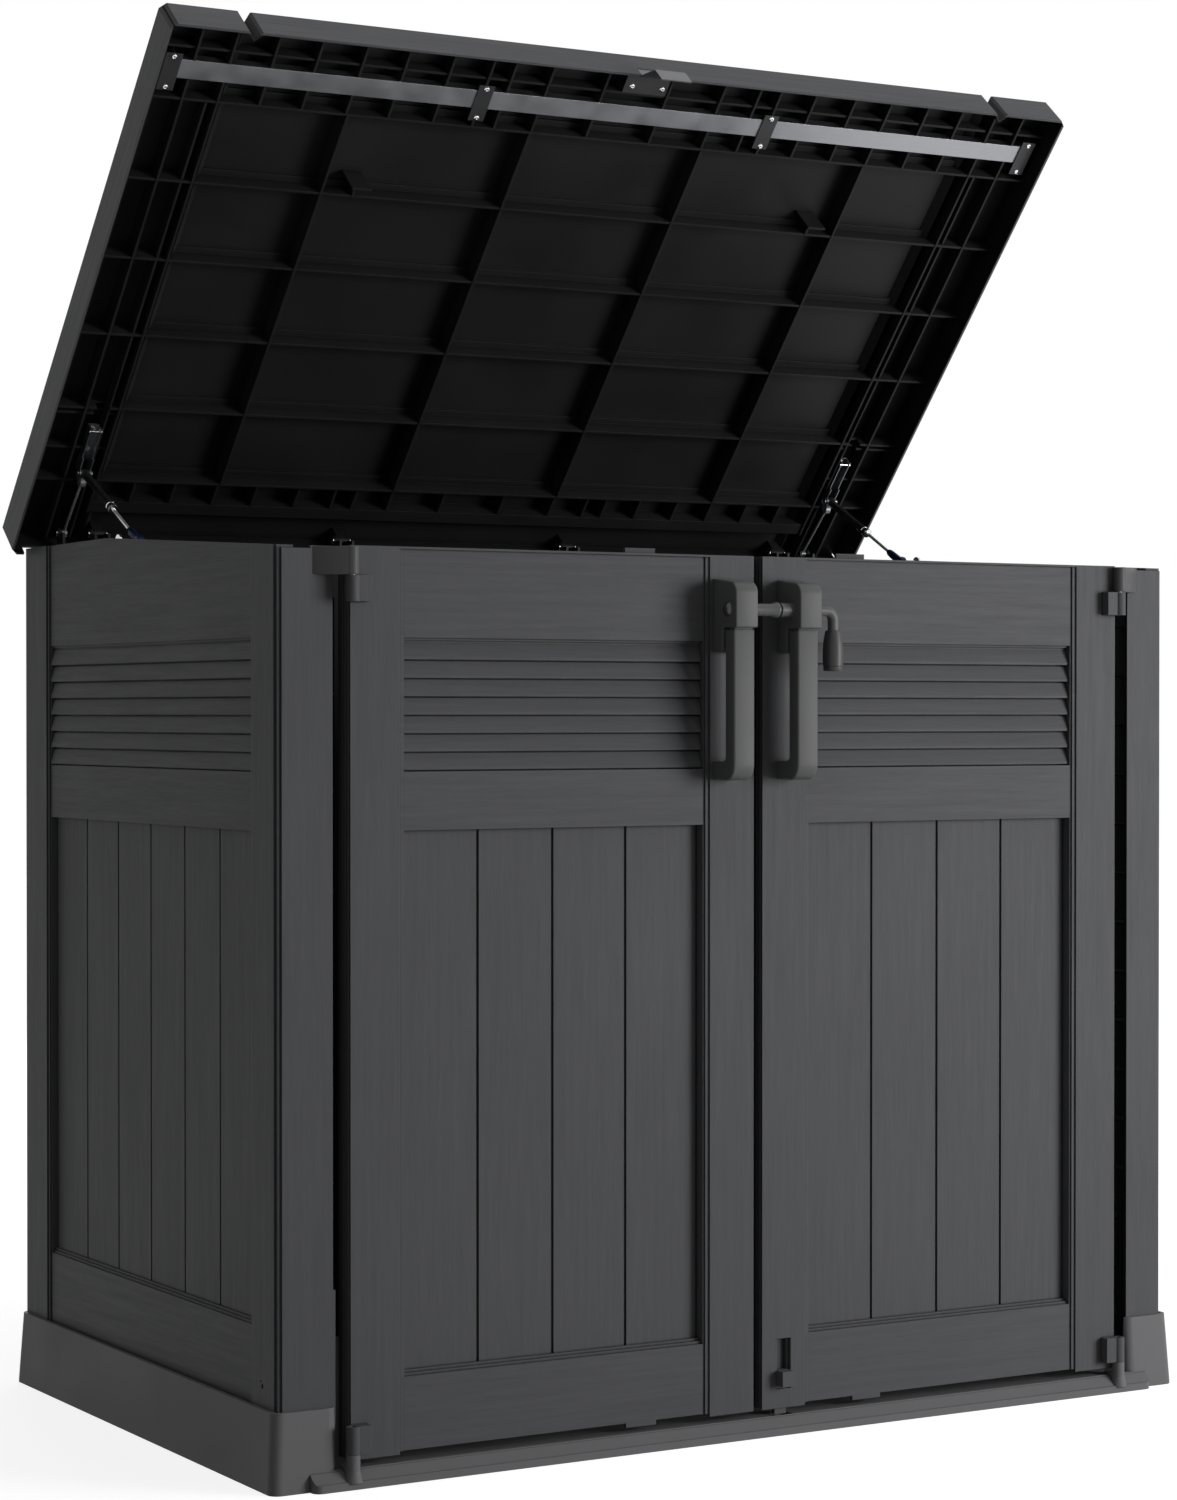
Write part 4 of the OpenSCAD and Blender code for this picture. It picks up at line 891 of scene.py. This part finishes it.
class ModelLock(bpy.types.Operator):
    """Model and finish the lock between the handles"""

    bl_idname = "storage_box.model_lock"
    bl_label = "Lock"

    def execute(self, context):
        settings = context.scene.box_finish
        satin = smooth_resin("lock_resin_satin", settings.lock_grey, 0.36, 0.06, gloss=0.15)
        across = (1, 0, 0)
        left = turned("left_sleeve_tube", (-41 * MM, LOCK.y, LOCK.z), across, [
            (0, 8.3), (38, 8.3), (45, 10.4), (46.6, 10.7), (47.8, 10.3), (48.5, 9.4),
            (48.5, 7.6), (31, 7.3),
        ], 48)
        finish_piece(left, "left_door", satin, ("lock_sleeve_left",))
        right = turned("right_sleeve_tube", (8.5 * MM, LOCK.y, LOCK.z), across, [
            (27, 6.5), (0, 6.5), (0, 7.6), (1.8, 7.6), (1.8, 8.9), (2.4, 9.4), (27, 9.4),
            (27, 6.5),
        ], 48)
        finish_piece(right, "right_door", satin, ("lock_sleeve_right",))
        rod = turned("lock_rod_bar", (9 * MM, LOCK.y, LOCK.z), across, [
            (0, 4.5), (1.6, 6.15), (58.4, 6.15), (58.6, 7.3), (LOCK.x / MM - 9, 7.3),
        ], 40)
        finish_piece(rod, "lock_bolt", satin, ("lock_bolt",))
        finish_piece(self.elbow(), "lock_lever", satin, ("lock_lever",))
        hang_from = (LOCK.x + 13 * MM, LOCK.y, LOCK.z - 26 * MM)
        hang = turned("lock_hand_grip", hang_from, (0, 0, -1), [
            (0, 8), (0, 9.6), (1, 10.6), (6, 11.6), (14, 13), (24, 13.8), (36, 14), (44, 13.7),
            (47.6, 13.4), (48.1, 12.9), (48.8, 13.3), (53.3, 12.9), (54.5, 12), (54.5, 7),
            (53, 6.8),
        ], 48)
        rubber = smooth_resin("grip_rubber_satin", settings.rubber, 0.4, 0.1, gloss=0.2)
        finish_piece(hang, "lock_lever", rubber, ("lock_grip",))
        mount_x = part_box("left_handle_mount")[0].x
        button = turned("lock_push_button", (mount_x + 1 * MM, LOCK.y, LOCK.z), (-1, 0, 0), [
            (0, 9.8), (2, 9.8), (2.4, 9.2), (4, 8.2), (5.4, 6.4), (6.4, 4), (6.9, 1.6),
        ], 40)
        glossy = smooth_resin("button_resin_gloss", settings.rubber, 0.18, gloss=0.5)
        finish_piece(button, "left_door", glossy, ("lock_button",))
        return {"FINISHED"}

    def elbow(self):
        """Rod that turns down in a quarter bend."""
        radius, bend, drop = 7.3 * MM, 13 * MM, 15 * MM
        bpy.ops.object.select_all(action="DESELECT")
        bpy.ops.mesh.primitive_circle_add(
            vertices=40, radius=radius, fill_type="NGON", location=LOCK,
            rotation=(0, math.pi / 2, 0),
        )
        lever = bpy.context.object
        lever.name = lever.data.name = "lock_elbow_bar"
        settle(lever)
        centre = (LOCK.x, LOCK.y, LOCK.z - bend)

        def turn_down():
            bpy.ops.mesh.spin(steps=14, angle=-math.pi / 2, center=centre, axis=(0, 1, 0))
            extrude((0, 0, -drop))
            bpy.ops.mesh.select_all(action="SELECT")
            bpy.ops.mesh.normals_make_consistent(inside=False)

        shape(lever, "FACE", everywhere, turn_down)
        return lever


class ModelSmallParts(bpy.types.Operator):
    """Model and finish the hinge blocks, the screws, the nuts and the struts' end fittings"""

    bl_idname = "storage_box.model_small_parts"
    bl_label = "Hinge blocks, screws and fittings"

    def execute(self, context):
        settings = context.scene.box_finish
        resin = smooth_resin("hinge_resin_satin", settings.hinge_grey, 0.4, gloss=0.1)
        bright = metal("bright_screw", settings.steel, 0.2)
        blue = smooth_resin("fitting_blue", settings.fitting_blue, 0.25)
        for side in SIDES:
            self.hinge_block(side, resin)
            self.socket(side, blue, bright)
            self.stay_details(side, bright)
        self.lid_screws(bright)
        return {"FINISHED"}

    def hinge_block(self, side, resin):
        """Barrel round the pin, with a plate that tapers down to the post."""
        low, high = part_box("upper_hinge_" + side)
        inner, outer = (high.x, low.x) if side == "left" else (low.x, high.x)
        away = math.copysign(1, outer)
        radius, tall, edge = 8.7, (high.z - low.z) / MM, 0.8
        axis = Vector((inner + 9.7 * MM * away, low.y + 8.9 * MM, low.z))
        barrel = turned("barrel", axis, (0, 0, 1), [
            (0, radius - edge), (edge, radius), (tall - edge, radius), (tall, radius - edge),
        ], 40)
        near, far = axis.x + 4.5 * MM * away, outer - 2 * MM * away
        left_x, right_x = sorted((near, far))
        plate = start_block("plate", (left_x, low.y, low.z), (right_x, high.y, high.z))
        front_slant = Vector((0.558 * away, -0.83, 0))
        back_slant = Vector((-0.465 * away, 0.885, 0))
        cut_away(plate, (far, high.y, 0), front_slant)
        cut_away(plate, (axis.x + 19 * MM * away, high.y, 0), back_slant)
        soften(plate, edge * MM)
        block = joined("hinge_block_" + side, [barrel, plate])
        finish_piece(block, "root", resin, ("upper_hinge_" + side,))

    def socket(self, side, blue, bright):
        """Tapered plastic fitting with a ball socket, and the nut on its stud."""
        pivot = Vector(JOINTS[side + "_strut_pivot"]["pos_m"])
        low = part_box("strut_end_" + side)[0]
        up = -Vector(JOINTS[side + "_strut_slide"]["axis"])
        across = Vector((1, 0, 0))
        half, radius = 5.5 * MM, 9 * MM
        eye = Vector((pivot.x, low.y + radius, low.z + radius))
        stem = turned("stem", eye, up, [(5, 5.2), (9, 6.2), (27, 5.8), (35, 5.2), (39, 3.6)])
        head = turned("head", eye - across * half, across, [
            (0, 4.6), (0, 7), (1, 8.4), (3.5, 9), (7.5, 9), (10, 8.4), (11, 7), (11, 4.6),
        ])
        body = side + "_strut_rod"
        fitting = joined("ball_socket_" + side, [stem, head])
        finish_piece(fitting, body, blue, ("strut_end_" + side,))
        nut = turned("socket_nut_" + side, eye + across * half, across, [
            (-1, 4.6), (3, 4.6), (3.4, 4), (3.4, 2.4), (4.6, 2.2),
        ], 6)
        finish_piece(nut, body, bright)

    def stay_details(self, side, bright):
        """Two rings round the foot of the strut's cylinder, and the rivet across its channel."""
        pivot = Vector(JOINTS[side + "_strut_pivot"]["pos_m"])
        down = Vector(JOINTS[side + "_strut_slide"]["axis"])
        rings = [
            turned("ring", pivot + down * start * MM, down, [
                (0, 5.4), (0, wide), (1, wide + 0.5), (2, wide), (2.6, 3.4),
            ]) for start, wide in ((108, 6.3), (118, 6.6))
        ]
        both_rings = joined("cylinder_rings_" + side, rings)
        finish_piece(both_rings, side + "_strut", bright)
        ahead = Vector((0, -math.cos(LID_OPEN), math.sin(LID_OPEN)))
        inward = Vector((0, math.sin(LID_OPEN), math.cos(LID_OPEN)))
        across = Vector((1, 0, 0))
        start = pivot + (ahead * 70 + inward * 6 - across * 10) * MM
        rivet = turned("channel_rivet_" + side, start, across, [
            (0, 1.5), (0.9, 2.6), (2.2, 2.6), (2.2, 1), (17.8, 1), (17.8, 2.6), (19.1, 2.6),
            (20, 1.5),
        ], 24)
        finish_piece(rivet, "lid", bright)

    def screw(self, name, place):
        """Pan head with a round recess, facing down from the shut lid."""
        return turned(name, place, (0, 0, -1), [
            (-2, 4), (0.9, 4), (1.8, 3.4), (2.2, 2.4), (2.2, 1.7), (1.1, 1.5),
        ], 24)

    def lid_screws(self, bright):
        strap_places = [(x, back, 32) for x in (-702, -235, 235, 702) for back in (61, 107)]
        latch_places = [(x, 34, 28) for x in (-10, 39.5)]
        for name, node, places in (
            ("strap_screw_heads", "beam_screws", strap_places),
            ("latch_screw_heads", "latch_screws", latch_places),
        ):
            first, *others = [under_lid(*place) for place in places]
            heads = [self.screw("head", first)]
            heads += [copied(heads[0], place - first) for place in others]
            finish_piece(on_lid(joined(name, heads)), "lid", bright, (node,))


class SetStage(bpy.types.Operator):
    """Set the floor, the lamps, the sky and the camera"""

    bl_idname = "storage_box.set_stage"
    bl_label = "Stage"

    def execute(self, context):
        stage = context.scene.box_stage
        context.scene.view_settings.view_transform = "Standard"
        self.add_floor(stage)
        self.add_sky(context, stage)
        self.add_lamps(stage)
        self.add_camera(context, stage)
        return {"FINISHED"}

    def add_floor(self, stage):
        bpy.ops.object.select_all(action="DESELECT")
        bpy.ops.mesh.primitive_plane_add(size=stage.floor_size, location=(0, 0, 0))
        floor = bpy.context.object
        floor.name = "studio_floor"
        floor.data.materials.append(self.floor_material(stage))

    def floor_material(self, stage):
        """Pale paint that looks white, with a soft shadow near the box and none further out."""
        material, tree, shader, place = new_material("pale_floor")
        mottle = remapped(tree, noise(tree, place, 0.6, 2.0), (0.0, 1.0), (0.5, 0.54))
        link(tree, mottle, shader.inputs["Base Color"])
        shader.inputs["Roughness"].default_value = 0.9
        shader.inputs["Specular IOR Level"].default_value = 0.0
        shader.inputs["Emission Color"].default_value = (1, 1, 1, 1)
        away = add_node(tree, "ShaderNodeVectorMath", operation="LENGTH")
        link(tree, place, away.inputs[0])
        shadow_edge = 0.9
        reach, lift = (shadow_edge, stage.shadow_reach), (stage.floor_glow, 1.0)
        glow = remapped(tree, away.outputs["Value"], reach, lift, "SMOOTHSTEP")
        strength = math_node(tree, "MULTIPLY", seen_rays(tree), glow)
        link(tree, strength, shader.inputs["Emission Strength"])
        return material

    def add_sky(self, context, stage):
        world = bpy.data.worlds.new("studio_sky")
        context.scene.world = world
        world.use_nodes = True
        tree = world.node_tree
        tree.nodes.clear()
        shades = []
        for strength in (stage.sky, 1.0):
            shade = add_node(tree, "ShaderNodeBackground")
            shade.inputs["Color"].default_value = (1, 1, 1, 1)
            shade.inputs["Strength"].default_value = strength
            shades.append(shade.outputs[0])
        mixed = add_node(tree, "ShaderNodeMixShader")
        for socket, source in zip(mixed.inputs, (seen_rays(tree), *shades)):
            link(tree, source, socket)
        output = tree.nodes.new("ShaderNodeOutputWorld")
        link(tree, mixed.outputs[0], output.inputs["Surface"])

    def add_lamps(self, stage):
        aim = Vector((0, 0, 0.9))
        lamps = (
            ("key_lamp", (3.3, -3.8, 1.2), 2.2, stage.key_power),
            ("fill_lamp", (-4.5, -4.0, 2.2), 3.5, stage.fill_power),
            ("top_lamp", (0.5, -0.5, 5.5), 4.5, stage.top_power),
            ("back_lamp", (1.8, 4.8, 2.4), 3.0, stage.back_power),
        )
        for name, place, size, power in lamps:
            lamp = bpy.data.lights.new(name, "AREA")
            lamp.shape = "SQUARE"
            lamp.size = size
            lamp.energy = power
            holder = bpy.data.objects.new(name, lamp)
            bpy.context.scene.collection.objects.link(holder)
            holder.location = place
            holder.rotation_euler = (aim - Vector(place)).to_track_quat("-Z", "Y").to_euler()

    def add_camera(self, context, stage):
        camera = bpy.data.cameras.new("photo_camera")
        camera.lens = stage.lens
        camera.sensor_width = 36
        camera.clip_end = 60
        holder = bpy.data.objects.new("photo_camera", camera)
        context.scene.collection.objects.link(holder)
        holder.location = stage.camera_place
        holder.rotation_euler = (math.pi / 2 - stage.camera_dip, 0, -stage.camera_yaw)
        context.scene.camera = holder


STEPS = (
    SetStage, DressBody, DressDoors, DressLid, DressStays, ModelHandles, ModelLock,
    ModelSmallParts,
)
SETTINGS = (BoxFinishSettings, BoxGrainSettings, BoxStageSettings)


class StorageBoxPanel(bpy.types.Panel):
    """Lists the steps that build the storage box's looks"""

    bl_idname = "VIEW3D_PT_storage_box"
    bl_label = "Storage Box"
    bl_space_type = "VIEW_3D"
    bl_region_type = "UI"
    bl_category = "Storage Box"

    def draw(self, context):
        for step in STEPS:
            self.layout.operator(step.bl_idname)


def register():
    for kind in (*SETTINGS, *STEPS, StorageBoxPanel):
        bpy.utils.register_class(kind)
    bpy.types.Scene.box_finish = bpy.props.PointerProperty(type=BoxFinishSettings)
    bpy.types.Scene.box_grain = bpy.props.PointerProperty(type=BoxGrainSettings)
    bpy.types.Scene.box_stage = bpy.props.PointerProperty(type=BoxStageSettings)


def unregister():
    del bpy.types.Scene.box_stage
    del bpy.types.Scene.box_grain
    del bpy.types.Scene.box_finish
    for kind in (StorageBoxPanel, *reversed(STEPS), *reversed(SETTINGS)):
        bpy.utils.unregister_class(kind)


def main():
    register()
    for step in STEPS:
        group, name = step.bl_idname.split(".")
        getattr(getattr(bpy.ops, group), name)()


if __name__ == "__main__":
    main()
